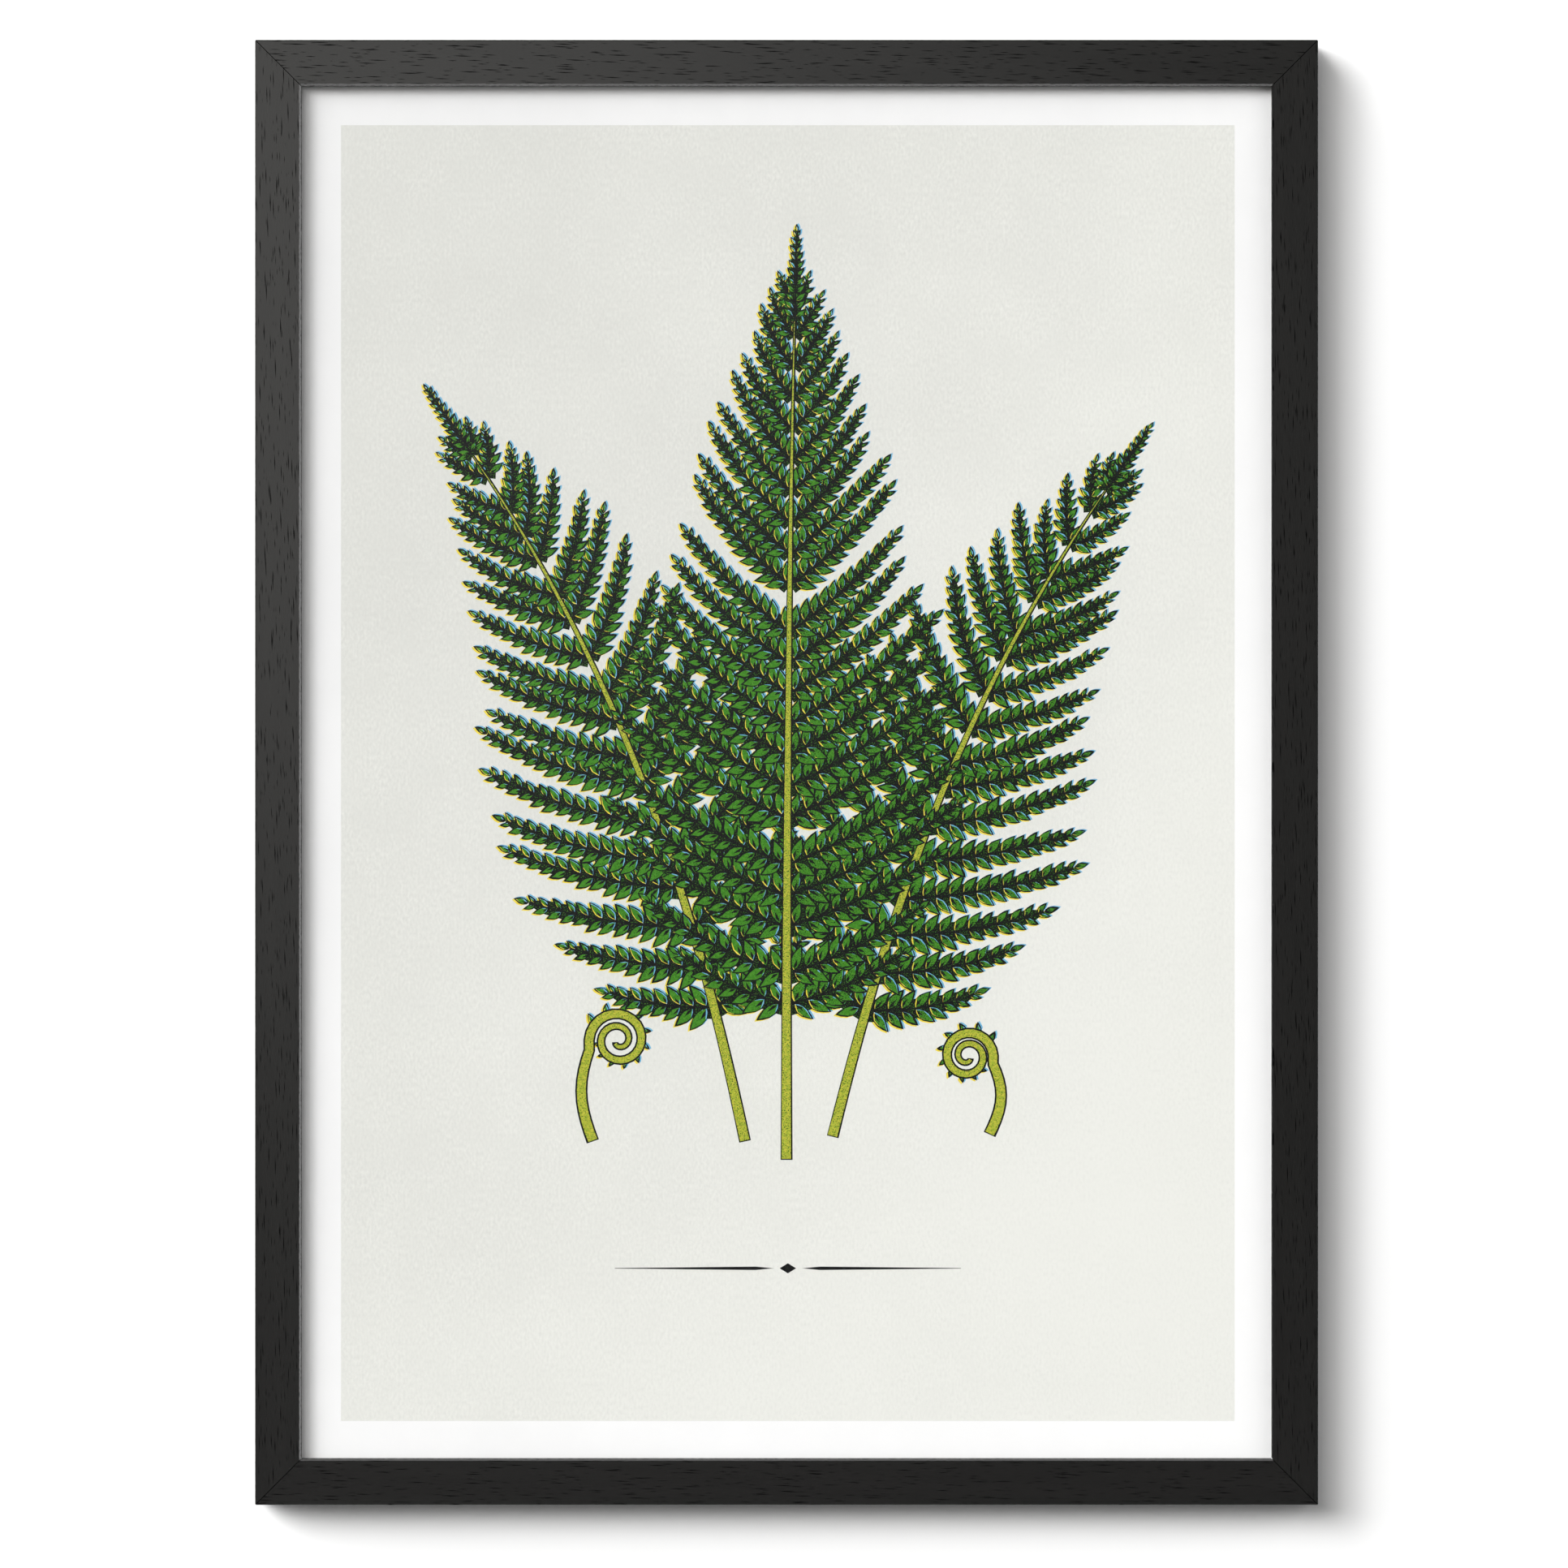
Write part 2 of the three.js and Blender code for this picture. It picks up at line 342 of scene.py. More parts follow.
@dataclass(frozen=True)
class BlackTimber:
    """Satin black lacquer on open-grain timber, sunk into the pores, with a painted highlight along the
    sight edge.
    """

    grain: Grain
    seed: float
    sight: float  # the sight edge's place across the moulding, in millimetres
    inwards: int
    edge_highlight: float  # how strong the painted highlight along the sight edge is
    light: Colour = (0.0070, 0.0068, 0.0063)
    dark: Colour = (0.0045, 0.0044, 0.0041)
    pore: Colour = (0.0004, 0.0004, 0.0004)
    highlight_width: float = 0.95  # of the painted highlight's line, in millimetres
    highlight_depth: float = 1.4  # how far behind the face the painted highlight's line reaches, in millimetres
    # the painted highlight's colour
    bare: Colour = (0.3, 0.3, 0.3)
    roughness: float = 0.22
    sheen: float = 0.26
    slope: float = 0.03  # how far the fibres run off the moulding's own line
    long_pores: Pores = Pores((1.4, 30.0), 0.165, 0.4)
    short_pores: Pores = Pores((1.05, 15.0), 0.15, -0.05, 31.0)
    pore_depth: float = 0.12 * MM
    pore_cover: float = 0.85  # how far a pore's own matte colour hides the lacquer
    pore_roughness: float = 0.9

    def _painted_edge_highlight(self, shader: Shader, side: Tone, along: Tone, depth: Tone) -> Tone:
        """Lays out the painted highlight: a thin uneven pale line along the front of the sight edge.

        Args:
            shader: the material's shader.
            side: the place across the face.
            along: the place along the moulding.
            depth: the place from front to rear.

        Returns:
            The share of the surface that the painted highlight covers.
        """
        soft = 0.2
        ragged = shader.noise(shader.vector(side * 0.8, along * 0.9, self.seed + 13))
        gap = (self.sight - side) * self.inwards + (ragged - 0.5) * 0.5
        rear = CAD_BOX[0].y / MM + self.highlight_depth
        line = gap.step(0.0, soft) * gap.step(self.highlight_width, self.highlight_width - soft)
        return line * depth.step(rear, rear - 2 * soft) * (0.55 + ragged * 0.7) * self.edge_highlight

    def material(self) -> bpy.types.Material:
        """Builds the timber's material.

        Returns:
            The material.
        """
        shader = Shader(f"black_timber_{self.grain.value}")
        x, y, z = shader.place()
        upright = self.grain is Grain.UPRIGHT
        along = z if upright else x
        edge_side = x if upright else z
        side = edge_side + y
        drift = shader.noise(shader.vector(side / 60, along / 180, self.seed), 0.0)
        wobble = shader.noise(shader.vector(side * 0.3, along * 0.06, self.seed), 0.0)
        across = side + along * self.slope + drift * 2.5 + wobble * 0.12
        long_pores = self.long_pores.pattern(shader, across, along, self.seed)
        short_pores = self.short_pores.pattern(shader, across, along, self.seed)
        bands = shader.noise(shader.vector(across / 5, along / 90, self.seed + 3))
        fibre = shader.noise(shader.vector(across * 3.4, along * 0.16, self.seed + 7), 3.0)
        # painted highlight: a pale uneven line on the sight edge's chamfer, stronger on the sides where
        # the light falls
        lightened = self._painted_edge_highlight(shader, edge_side, along, y)
        pores = (long_pores * (0.75 + bands.step(0.3, 0.55) * 0.25)).or_more(short_pores * 0.8)
        pores = pores * lightened.step(0.3, 0.0)
        body = shader.mix(bands.step(0.3, 0.75) * 0.6 + fibre * 0.4, self.dark, self.light)
        body = shader.mix(lightened, body, self.bare)
        shader.set(
            Base_Color=shader.mix(pores, body, self.pore),
            Roughness=self.roughness + fibre * 0.05,
            Specular_IOR_Level=self.sheen,
        )
        shader.bump(fibre * 0.06 - pores, self.pore_depth)
        shader.cover(pores.step(0.05, 0.5) * self.pore_cover, self.pore, self.pore_roughness)
        return shader.material


@dataclass(frozen=True)
class ClearAcrylic:
    """Polished glazing with a faint gloss, which lets the print show undimmed."""

    index: float = 1.1
    roughness: float = 0.2

    def material(self) -> bpy.types.Material:
        """Builds the glazing's material.

        Returns:
            The material.
        """
        shader = Shader("clear_acrylic")
        clear = shader.node("ShaderNodeBsdfTransparent", inputs={"Color": (1, 1, 1, 1)})
        gloss = shader.node("ShaderNodeBsdfAnisotropic", inputs={"Roughness": self.roughness})
        rim = shader.node("ShaderNodeFresnel", inputs={"IOR": self.index})
        shader.tree.nodes.remove(shader.surface)
        shader.show(rim.outputs[0], clear, gloss)
        return shader.material


@dataclass(frozen=True)
class Paper:
    """Matte paper with a fine upright grain, which comes and goes in clouds, and painted shade that
    darkens it towards the upper left.
    """

    name: str
    shade: Colour
    light: Colour
    fibre_share: float
    roughness: float = 0.75
    sheen: float = 0.2
    relief: float = 0.02 * MM

    def material(self) -> bpy.types.Material:
        """Builds the paper's material.

        Returns:
            The material.
        """
        shader = Shader(self.name)
        x, _, z = shader.place()
        cloud = shader.noise(shader.vector(x / 90, z / 90, 2.0), 3.0)
        patch = shader.noise(shader.vector(x / 14, z / 20, 4.0), 2.0)
        fibre = shader.noise(shader.vector(x * 0.95, z * 0.5, 5.0), 2.0, 0.6)
        painted_shade_fall = (x * 1.4 - z).step(-400.0, 1000.0)  # painted shade: darker at the upper left, paler towards the lower right
        grain = (fibre - 0.5) * (patch.step(0.25, 0.75) * 0.5 + 0.5) * self.fibre_share
        share = painted_shade_fall * 0.55 + cloud * 0.3 + patch * 0.12 + grain + 0.1
        shader.set(
            Base_Color=shader.mix(share.step(0.1, 0.95), self.shade, self.light),
            Roughness=self.roughness,
            Specular_IOR_Level=self.sheen,
        )
        shader.bump(fibre, self.relief)
        return shader.material


@dataclass(frozen=True)
class PrintedInk:
    """Ink on the sheet. A darker grain shows in it where the mesh's shade number is high."""

    name: str
    colour: Colour
    second: Colour
    grain: Colour
    grain_share: float = 1.0
    roughness: float = 0.62
    sheen: float = 0.12
    relief: float = 0.01 * MM

    def material(self) -> bpy.types.Material:
        """Builds the ink's material.

        Returns:
            The material.
        """
        shader = Shader(self.name)
        x, _, z = shader.place()
        mottle = shader.noise(shader.vector(x * 0.8, z * 0.8, 3.0), 3.0)
        stone = shader.noise(shader.vector(x * 1.9, z * 1.9, 7.0), 1.0)
        shade = shader.attribute(Picture.SHADE)
        body = shader.mix(mottle.step(0.38, 0.66), self.colour, self.second)
        dots = (stone + shade * 0.42).step(0.7, 0.78) * self.grain_share
        shader.set(
            Base_Color=shader.mix(dots, body, self.grain),
            Roughness=self.roughness,
            Specular_IOR_Level=self.sheen,
        )
        shader.bump(shader.noise(shader.vector(x, z, 1.0)), self.relief)
        return shader.material


@dataclass(frozen=True)
class PressedBoard:
    """Fibreboard or card: a mat of short fibres with darker flecks."""

    name: str
    colour: Colour
    dark: Colour
    flecks: float
    roughness: float = 0.62
    sheen: float = 0.3
    relief: float = 0.05 * MM

    def material(self) -> bpy.types.Material:
        """Builds the board's material.

        Returns:
            The material.
        """
        shader = Shader(self.name)
        x, y, z = shader.place()
        cloud = shader.noise(shader.vector(x / 70, z / 70, y / 6), 4.0)
        mat = shader.noise(shader.vector(x * 0.5, z * 0.5, y * 1.5), 6.0, 0.7)
        fleck = shader.noise(shader.vector(x * 0.5, z * 1.3, y), 2.0).step(0.62, 0.7)
        share = cloud * 0.2 + mat * 0.8 + fleck * self.flecks
        shader.set(
            Base_Color=shader.mix(share.step(0.25, 1.0), self.colour, self.dark),
            Roughness=self.roughness + mat * 0.25,
            Specular_IOR_Level=self.sheen,
        )
        shader.bump(mat, self.relief)
        return shader.material


@dataclass(frozen=True)
class PlatedSteel:
    """Rolled or plated steel with fine marks along X and faint tarnish."""

    name: str
    colour: Colour
    tarnish: Colour
    roughness: float
    relief: float = 0.02 * MM

    def material(self) -> bpy.types.Material:
        """Builds the metal's material.

        Returns:
            The material.
        """
        shader = Shader(self.name)
        x, y, z = shader.place()
        marks = shader.noise(shader.vector(x * 0.25, z * 6, y * 6), 3.0)
        stain = shader.noise(shader.vector(x * 0.3, z * 0.3, y * 0.3), 3.0).step(0.45, 0.75)
        shader.set(
            Base_Color=shader.mix(stain, self.colour, self.tarnish),
            Metallic=1.0,
            Roughness=self.roughness + marks * 0.14 + stain * 0.12,
        )
        shader.bump(marks, self.relief)
        return shader.material


@dataclass(frozen=True)
class MatteBlack:
    """Moulded rubber or dried filler with a fine matte skin."""

    name: str = "matte_rubber"
    colour: Colour = (0.035, 0.035, 0.036)
    lightened: Colour = (0.07, 0.07, 0.072)
    sheen: float = 0.35
    roughness: float = 0.7
    relief: float = 0.04 * MM

    def material(self) -> bpy.types.Material:
        """Builds the rubber's or filler's material.

        Returns:
            The material.
        """
        shader = Shader(self.name)
        x, y, z = shader.place()
        skin = shader.noise(shader.vector(x * 3, z * 3, y * 3), 2.0)
        dust = shader.noise(shader.vector(x * 0.6, z * 0.6, y * 0.6), 3.0)
        shader.set(
            Base_Color=shader.mix(dust.step(0.4, 0.8), self.colour, self.lightened),
            Roughness=self.roughness + skin * 0.15,
            Specular_IOR_Level=self.sheen,
        )
        shader.bump(skin, self.relief)
        return shader.material


# Mesh work


def deselect() -> None:
    """Leaves nothing selected, as an operator acts on all that is."""
    if bpy.context.object and bpy.context.object.mode != "OBJECT":
        bpy.ops.object.mode_set(mode="OBJECT")
    bpy.ops.object.select_all(action="DESELECT")


def name_piece(name: str) -> bpy.types.Object:
    """Names the active object, and puts its place and scale into its mesh.

    Args:
        name: the piece's name.

    Returns:
        The piece.
    """
    piece = bpy.context.object
    piece.name = name
    piece.data.name = name
    bpy.ops.object.transform_apply(location=True, rotation=True, scale=True)
    return piece


def add_block(name: str, low: Sequence[float], high: Sequence[float]) -> bpy.types.Object:
    """Adds a cube primitive drawn out between two corners.

    Args:
        name: the piece's name.
        low: its lowest corner.
        high: its highest corner.

    Returns:
        The piece.
    """
    deselect()
    middle = [(a + b) / 2 for a, b in zip(low, high)]
    size = [b - a for a, b in zip(low, high)]
    bpy.ops.mesh.primitive_cube_add(size=1, location=middle, scale=size)
    return name_piece(name)


def add_disc(
    name: str, middle: Sequence[float], radius: float, depth: float, sides: int
) -> bpy.types.Object:
    """Adds a cylinder primitive with its axis along Y.

    Args:
        name: the piece's name.
        middle: its middle.
        radius: its radius.
        depth: its length along Y.
        sides: how many sides it has.

    Returns:
        The piece.
    """
    deselect()
    bpy.ops.mesh.primitive_cylinder_add(
        vertices=sides, radius=radius, depth=depth, location=middle, rotation=(math.pi / 2, 0, 0)
    )
    return name_piece(name)


def choose(piece: bpy.types.Object, kind: str, wanted: Callable[[Vector], bool]) -> None:
    """Opens a piece for editing with some of its parts selected.

    Args:
        piece: the object.
        kind: VERT, EDGE or FACE. An edge or face counts where all its corners do.
        wanted: says whether a corner counts.
    """
    bpy.context.view_layer.objects.active = piece
    bpy.ops.object.mode_set(mode="EDIT")
    bpy.ops.mesh.select_mode(type=kind)
    bpy.ops.mesh.select_all(action="DESELECT")
    bpy.ops.object.mode_set(mode="OBJECT")
    mesh = piece.data
    corners = [wanted(vertex.co) for vertex in mesh.vertices]
    parts = {"VERT": mesh.vertices, "EDGE": mesh.edges, "FACE": mesh.polygons}[kind]
    for part in parts:
        part.select = corners[part.index] if kind == "VERT" else all(corners[v] for v in part.vertices)
    bpy.ops.object.mode_set(mode="EDIT")


def choose_all(piece: bpy.types.Object) -> None:
    """Opens a piece for editing with all of it selected.

    Args:
        piece: the object.
    """
    bpy.context.view_layer.objects.active = piece
    bpy.ops.object.mode_set(mode="EDIT")
    bpy.ops.mesh.select_all(action="SELECT")


def close_edit() -> None:
    """Ends the editing of a piece."""
    bpy.ops.object.mode_set(mode="OBJECT")


def apply_modifier(piece: bpy.types.Object, kind: str, **settings: object) -> None:
    """Adds a modifier and applies it.

    Args:
        piece: the object.
        kind: the modifier's type.
        settings: the modifier's settings.
    """
    deselect()
    piece.select_set(True)
    bpy.context.view_layer.objects.active = piece
    modifier = piece.modifiers.new(kind.title(), kind)
    for name, value in settings.items():
        setattr(modifier, name, value)
    bpy.ops.object.modifier_apply(modifier=modifier.name)


def carve(piece: bpy.types.Object, cutter: bpy.types.Object) -> None:
    """Cuts one piece out of another and removes the cutter."""
    apply_modifier(piece, "BOOLEAN", operation="DIFFERENCE", object=cutter, solver="EXACT")
    bpy.data.objects.remove(cutter)


def smooth(piece: bpy.types.Object, degrees: float = 35.0) -> None:
    """Shades a piece smooth across its shallow edges, with its wide faces kept flat.

    Args:
        piece: the object.
        degrees: the steepest edge that counts as shallow.
    """
    deselect()
    piece.select_set(True)
    bpy.context.view_layer.objects.active = piece
    bpy.ops.object.shade_smooth_by_angle(angle=math.radians(degrees))
    apply_modifier(piece, "WEIGHTED_NORMAL", keep_sharp=True)


def dress(piece: bpy.types.Object, finish: bpy.types.Material, slot: str, *nodes: str) -> None:
    """Gives a piece its finish and seats it on the frame's body.

    Args:
        piece: the object.
        finish: its material.
        slot: the record's material slot.
        nodes: the CAD nodes that it stands for.
    """
    piece.data.materials.clear()
    piece.data.materials.append(finish)
    seat(piece, slot, *nodes)


def seat(piece: bpy.types.Object, slot: str, *nodes: str) -> None:
    """Makes a piece ride on the body and hides the CAD nodes it stands for.

    Args:
        piece: the object.
        slot: the record's material slot; not used.
        nodes: the CAD nodes that it stands for.
    """
    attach(piece, BODY)
    if nodes:
        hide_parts(*nodes)
    log.info("%s: %d faces", piece.name, len(piece.data.polygons))


# The moulding


class Side(Enum):
    """A side of the frame: its CAD node, the axis that it runs along, and the way inwards."""

    LEFT = ("stile_left", 2, 1)
    RIGHT = ("stile_right", 2, -1)
    TOP = ("rail_top", 0, -1)
    BOTTOM = ("rail_bottom", 0, 1)

    @property
    def node(self) -> str:
        """The side's CAD node."""
        return self.value[0]

    @property
    def piece(self) -> str:
        """The name of the side's piece."""
        return "timber_" + self.name.lower()

    @property
    def along(self) -> int:
        """The axis that the side runs along."""
        return self.value[1]

    @property
    def across(self) -> int:
        """The axis across the side's face."""
        return 2 - self.value[1]

    @property
    def inwards(self) -> int:
        """1 where inwards is up or to the right, and -1 where it isn't."""
        return self.value[2]


class Corner(Enum):
    """A corner of the frame, with the ways to the right and up that lead from it into the frame."""

    TOP_LEFT = (1, -1)
    TOP_RIGHT = (-1, -1)
    BOTTOM_LEFT = (1, 1)
    BOTTOM_RIGHT = (-1, 1)

    @property
    def label(self) -> str:
        """The corner's name in those of its pieces."""
        return self.name.lower()

    def spot(self, inset: float = 0.0) -> Point:
        """Finds a place on the corner's mitre.

        Args:
            inset: its distance from both outer edges.

        Returns:
            The place along X and Z.
        """
        low, high = CAD_BOX
        right, up = self.value
        x = (low.x if right > 0 else high.x) + right * inset
        z = (low.z if up > 0 else high.z) + up * inset
        return x, z


@dataclass
class Moulding:
    """Four mitred lengths of timber, each with a lip over the glazing and a rebate behind it."""

    lip: float = 5 * MM  # its thickness over the glazing
    rebate: float = 5 * MM  # how far the lip reaches past the rebate's wall
    arris: float = 0.55 * MM  # the rounding of the outer front edge
    sight_edge: float = 0.8 * MM  # the width of the sight edge's chamfer
    rear_arris: float = 0.4 * MM
    seam: float = 0.22 * MM  # the width of the filler in a mitre
    first_seed: float = 3.7  # of the grain. Each further side adds the step
    seed_step: float = 11.3
    filler: MatteBlack = MatteBlack("dark_filler", (0.001, 0.001, 0.001), (0.003, 0.003, 0.003), 0.03)
    edge_highlight: dict[Side, float] = field(
        default_factory=lambda: {Side.LEFT: 1.1, Side.TOP: 0.7, Side.RIGHT: 0.0, Side.BOTTOM: 0.25}
    )  # how strong the painted highlight is along each sight edge, most where the light falls

    def build(self) -> None:
        """Makes the four sides and fills their mitres."""
        for n, side in enumerate(Side):
            self._side(side, self.first_seed + self.seed_step * n)
        self._fill_mitres()

    def _side(self, side: Side, seed: float) -> None:
        """Models one side and dresses it.

        Args:
            side: which side.
            seed: shifts its grain.
        """
        low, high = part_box(side.node)
        across, along = side.across, side.along
        outer = low[across] if side.inwards > 0 else high[across]
        width = high[across] - low[across]
        front, rear = low.y, high.y
        piece = add_block(side.piece, low, high)
        self._cut_rebate(piece, side, outer + side.inwards * (width - self.rebate), low, high)
        self._cut_mitres(piece, side, outer, low[along], high[along])
        inner = outer + side.inwards * width
        self._ease(piece, across, outer, front, self.arris)
        self._ease(piece, across, inner, front, self.sight_edge, 1)
        self._ease(piece, across, outer, rear, self.rear_arris)
        smooth(piece)
        grain = Grain.UPRIGHT if along == 2 else Grain.LEVEL
        timber = BlackTimber(grain, seed, inner / MM, side.inwards, self.edge_highlight[side])
        dress(piece, timber.material(), "timber", side.node)

    def _fill_mitres(self) -> None:
        """Puts a thin seam of dark filler in each mitre, a little below the face."""
        filler = self.filler.material()
        low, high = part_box("stile_left")
        width = high.x - low.x
        start = (self.seam, low.y + self.arris, -self.seam / 2)
        end = (width - 2 * self.seam, high.y - self.rear_arris, self.seam / 2)
        behind_lip = (width - self.rebate - self.seam, low.y + self.lip - self.seam, -width)
        for corner in Corner:
            x, z = corner.spot()
            right, up = corner.value
            piece = add_block(f"mitre_seam_{corner.label}", start, end)
            carve(piece, add_block("rebate_cutter", behind_lip, (2 * width, 1, width)))
            for vertex in piece.data.vertices:
                along, off = vertex.co.x, vertex.co.z
                vertex.co.x = x + right * (along - off)
                vertex.co.z = z + up * (along + off)
            apply_modifier(piece, "BEVEL", width=self.seam / 4, segments=2)
            choose_all(piece)
            bpy.ops.mesh.normals_make_consistent(inside=False)
            close_edit()
            dress(piece, filler, "timber")

    def _cut_rebate(
        self, piece: bpy.types.Object, side: Side, wall: float, low: Vector, high: Vector
    ) -> None:
        """Cuts away what lies behind the lip, from the rebate's wall inwards.

        Args:
            piece: the length of timber.
            side: which side it is.
            wall: the place of the rebate's wall across the side.
            low: the CAD node's lowest corner.
            high: the CAD node's highest corner.
        """
        spare = 10 * MM
        start = [value - spare for value in low]
        end = [value + spare for value in high]
        start[1] = low.y + self.lip
        if side.inwards > 0:
            start[side.across] = wall
        else:
            end[side.across] = wall
        carve(piece, add_block("rebate_cutter", start, end))

    def _cut_mitres(
        self, piece: bpy.types.Object, side: Side, outer: float, foot: float, head: float
    ) -> None:
        """Cuts both ends to 45 degrees, as long at the outer edge as the CAD node is.

        Args:
            piece: the length of timber.
            side: which side it is.
            outer: the place of its outer edge across the side.
            foot: the lower or left end.
            head: the upper or right end.
        """
        for end, outwards in ((foot, -1), (head, 1)):
            corner = [0.0, 0.0, 0.0]
            corner[side.across] = outer
            corner[side.along] = end
            normal = [0.0, 0.0, 0.0]
            normal[side.along] = outwards
            normal[side.across] = side.inwards
            choose_all(piece)
            bpy.ops.mesh.bisect(plane_co=corner, plane_no=normal, clear_outer=True, use_fill=True)
            close_edit()

    def _ease(
        self,
        piece: bpy.types.Object,
        across: int,
        place: float,
        depth: float,
        size: float,
        steps: int = 4,
    ) -> None:
        """Rounds a long edge.

        Args:
            piece: the length of timber.
            across: the axis across it.
            place: the edge's place along that axis.
            depth: the edge's place along Y.
            size: how much is taken off.
            steps: the number of faces. 1 gives a flat chamfer.
        """
        near = 0.05 * MM
        choose(
            piece,
            "EDGE",
            lambda corner: abs(corner[across] - place) < near and abs(corner.y - depth) < near,
        )
        bpy.ops.mesh.bevel(offset=size, segments=steps, profile=0.5, affect="EDGES")
        close_edit()


# The printed sheet


class Ink(IntEnum):
    """What a patch of the sheet shows. The number is its material's place on the sheet."""

    MARGIN = 0
    PANEL = 1
    GREEN = 2
    BLACK = 3
    YELLOW = 4
    BLUE = 5
    DUSK = 6
    LIT = 7


class Plate(Enum):
    """What a drawn outline does. The stone's outlines hide the ones drawn before them."""

    MARGIN = "the whole sheet"
    PANEL = "the printed area"
    YELLOW = "yellow under the leaves"
    BLUE = "blue under the leaves"
    LEAF = "open area that shows the colours under it"
    LINE = "black line"
    DUSK = "dark area between leaves"
    STALK = "sunlit stalk"


# What the stone's outlines show. An open leaf shows the colours under it.
STONE = {Plate.LEAF: None, Plate.LINE: Ink.BLACK, Plate.DUSK: Ink.DUSK, Plate.STALK: Ink.LIT}
# What the plates under the stone show together. The first line that fits counts.
UNDER = (
    ({Plate.YELLOW, Plate.BLUE}, Ink.GREEN),
    ({Plate.YELLOW}, Ink.YELLOW),
    ({Plate.BLUE}, Ink.BLUE),
    ({Plate.PANEL}, Ink.PANEL),
    (set(), Ink.MARGIN),
)


@dataclass(frozen=True)
class Shading:
    """How dark the grain is along a shape, from its foot to its tip."""

    foot: Point = (0.0, 0.0)
    axis: Point = (0.0, 1.0)
    at_foot: float = 0.0
    at_tip: float = 0.0

    def at(self, spot: Vector) -> float:
        """Works out the shade at a spot.

        Args:
            spot: the spot on the sheet.

        Returns:
            The shade, from 0 to 1.
        """
        run = (spot[0] - self.foot[0]) * self.axis[0] + (spot[1] - self.foot[1]) * self.axis[1]
        share = min(max(run / (self.axis[0] ** 2 + self.axis[1] ** 2), 0.0), 1.0)
        return self.at_foot + (self.at_tip - self.at_foot) * share


PLAIN = Shading()
NEAR = 1e-4  # points of the picture this close are one, in millimetres
Shown = tuple[Ink, Shading]
NOTHING: Shown = (Ink.MARGIN, PLAIN)


@dataclass
class Picture:
    """Outlines drawn on the sheet in millimetres from its middle, and the flat patches they make."""

    SHADE = "shade"
    corners: list[Vector] = field(default_factory=list)
    outlines: list[list[int]] = field(default_factory=list)
    plates: list[Plate] = field(default_factory=list)
    shadings: list[Shading] = field(default_factory=list)

    def draw(self, plate: Plate, points: Iterable[Point], shading: Shading = PLAIN) -> None:
        """Adds a closed outline on top of those before it, turned to run anticlockwise.

        Args:
            plate: what it does.
            points: its corners in order.
            shading: its grain.
        """
        start = len(self.corners)
        ring = list(points)
        if sum(ax * bz - bx * az for (ax, az), (bx, bz) in zip(ring, ring[1:] + ring[:1])) < 0:
            ring.reverse()
        self.corners.extend(Vector(point) for point in ring)
        self.outlines.append(list(range(start, len(self.corners))))
        self.plates.append(plate)
        self.shadings.append(shading)

    def rectangle(self, plate: Plate, middle: Point, width: float, height: float) -> None:
        """Adds an upright rectangle.

        Args:
            plate: what it does.
            middle: its middle.
            width: its width.
            height: its height.
        """
        x, z = middle
        a, b = width / 2, height / 2
        self.draw(plate, [(x - a, z - b), (x + a, z - b), (x + a, z + b), (x - a, z + b)])

    def stroke(
        self,
        plate: Plate,
        path: Sequence[Point],
        widths: Sequence[float],
        shading: Shading = PLAIN,
    ) -> None:
        """Adds a line of varying width.

        Args:
            plate: what it does.
            path: the places along its middle.
            widths: its width at each place.
            shading: its grain.
        """
        left, right = [], []
        for n, (x, z) in enumerate(path):
            before, after = path[max(n - 1, 0)], path[min(n + 1, len(path) - 1)]
            dx, dz = after[0] - before[0], after[1] - before[1]
            reach = widths[n] / 2 / max(math.hypot(dx, dz), 1e-9)
            left.append((x - dz * reach, z + dx * reach))
            right.append((x + dz * reach, z - dx * reach))
        self.draw(plate, left + right[::-1], shading)

    def _ink(self, drawn: Sequence[int]) -> Shown:
        """Finds what shows where some outlines lie over each other.

        Args:
            drawn: the outlines' numbers.

        Returns:
            The ink, and the shading it has.
        """
        plates = {self.plates[n] for n in drawn}
        top = max((n for n in drawn if self.plates[n] in STONE), default=None)
        shading = PLAIN if top is None else self.shadings[top]
        stone = None if top is None else STONE[self.plates[top]]
        if stone is not None:
            return stone, shading
        return next(ink for needed, ink in UNDER if needed <= plates), shading

    def _shown_lines(self) -> tuple[list[Vector], dict[tuple[int, int], Shown]]:
        """Finds the lines where one ink meets another, once all outlines lie over each other.

        Returns:
            The lines' corners, and what shows to the left of each line from corner to corner.
        """
        spots, _, patches, _, _, drawn = delaunay_2d_cdt(self.corners, [], self.outlines, 1, NEAR, True)
        left = {}
        for patch, ids in zip(patches, drawn):
            shown = self._ink(ids)
            for edge in zip(patch, patch[1:] + patch[:1]):
                left[edge] = shown
        for edge in [edge for edge in left if edge[0] < edge[1]]:
            back = edge[::-1]
            if back in left and left[edge][0] is left[back][0]:
                del left[edge], left[back]
        self._straighten(spots, left)
        return spots, left

    @staticmethod
    def _straighten(spots: Sequence[Vector], left: dict[tuple[int, int], Shown]) -> None:
        """Leaves out each corner that only splits a straight line.

        Args:
            spots: the lines' corners.
            left: what shows to the left of each line, which is changed in place.
        """
        following: dict[int, list[int]] = {}
        for start, end in left:
            following.setdefault(start, []).append(end)
        for corner, ends in following.items():
            if len(ends) != 2 or any((end, corner) not in left for end in ends):
                continue
            a, b = ends
            run = spots[b] - spots[a]
            off = abs(run.cross(spots[corner] - spots[a])) / max(run.length, NEAR)
            if off > NEAR or (a, b) in left or (b, a) in left:
                continue
            left[a, b] = left.pop((a, corner))
            left[b, a] = left.pop((b, corner))
            del left[corner, a], left[corner, b]
            following[a][following[a].index(corner)] = b
            following[b][following[b].index(corner)] = a

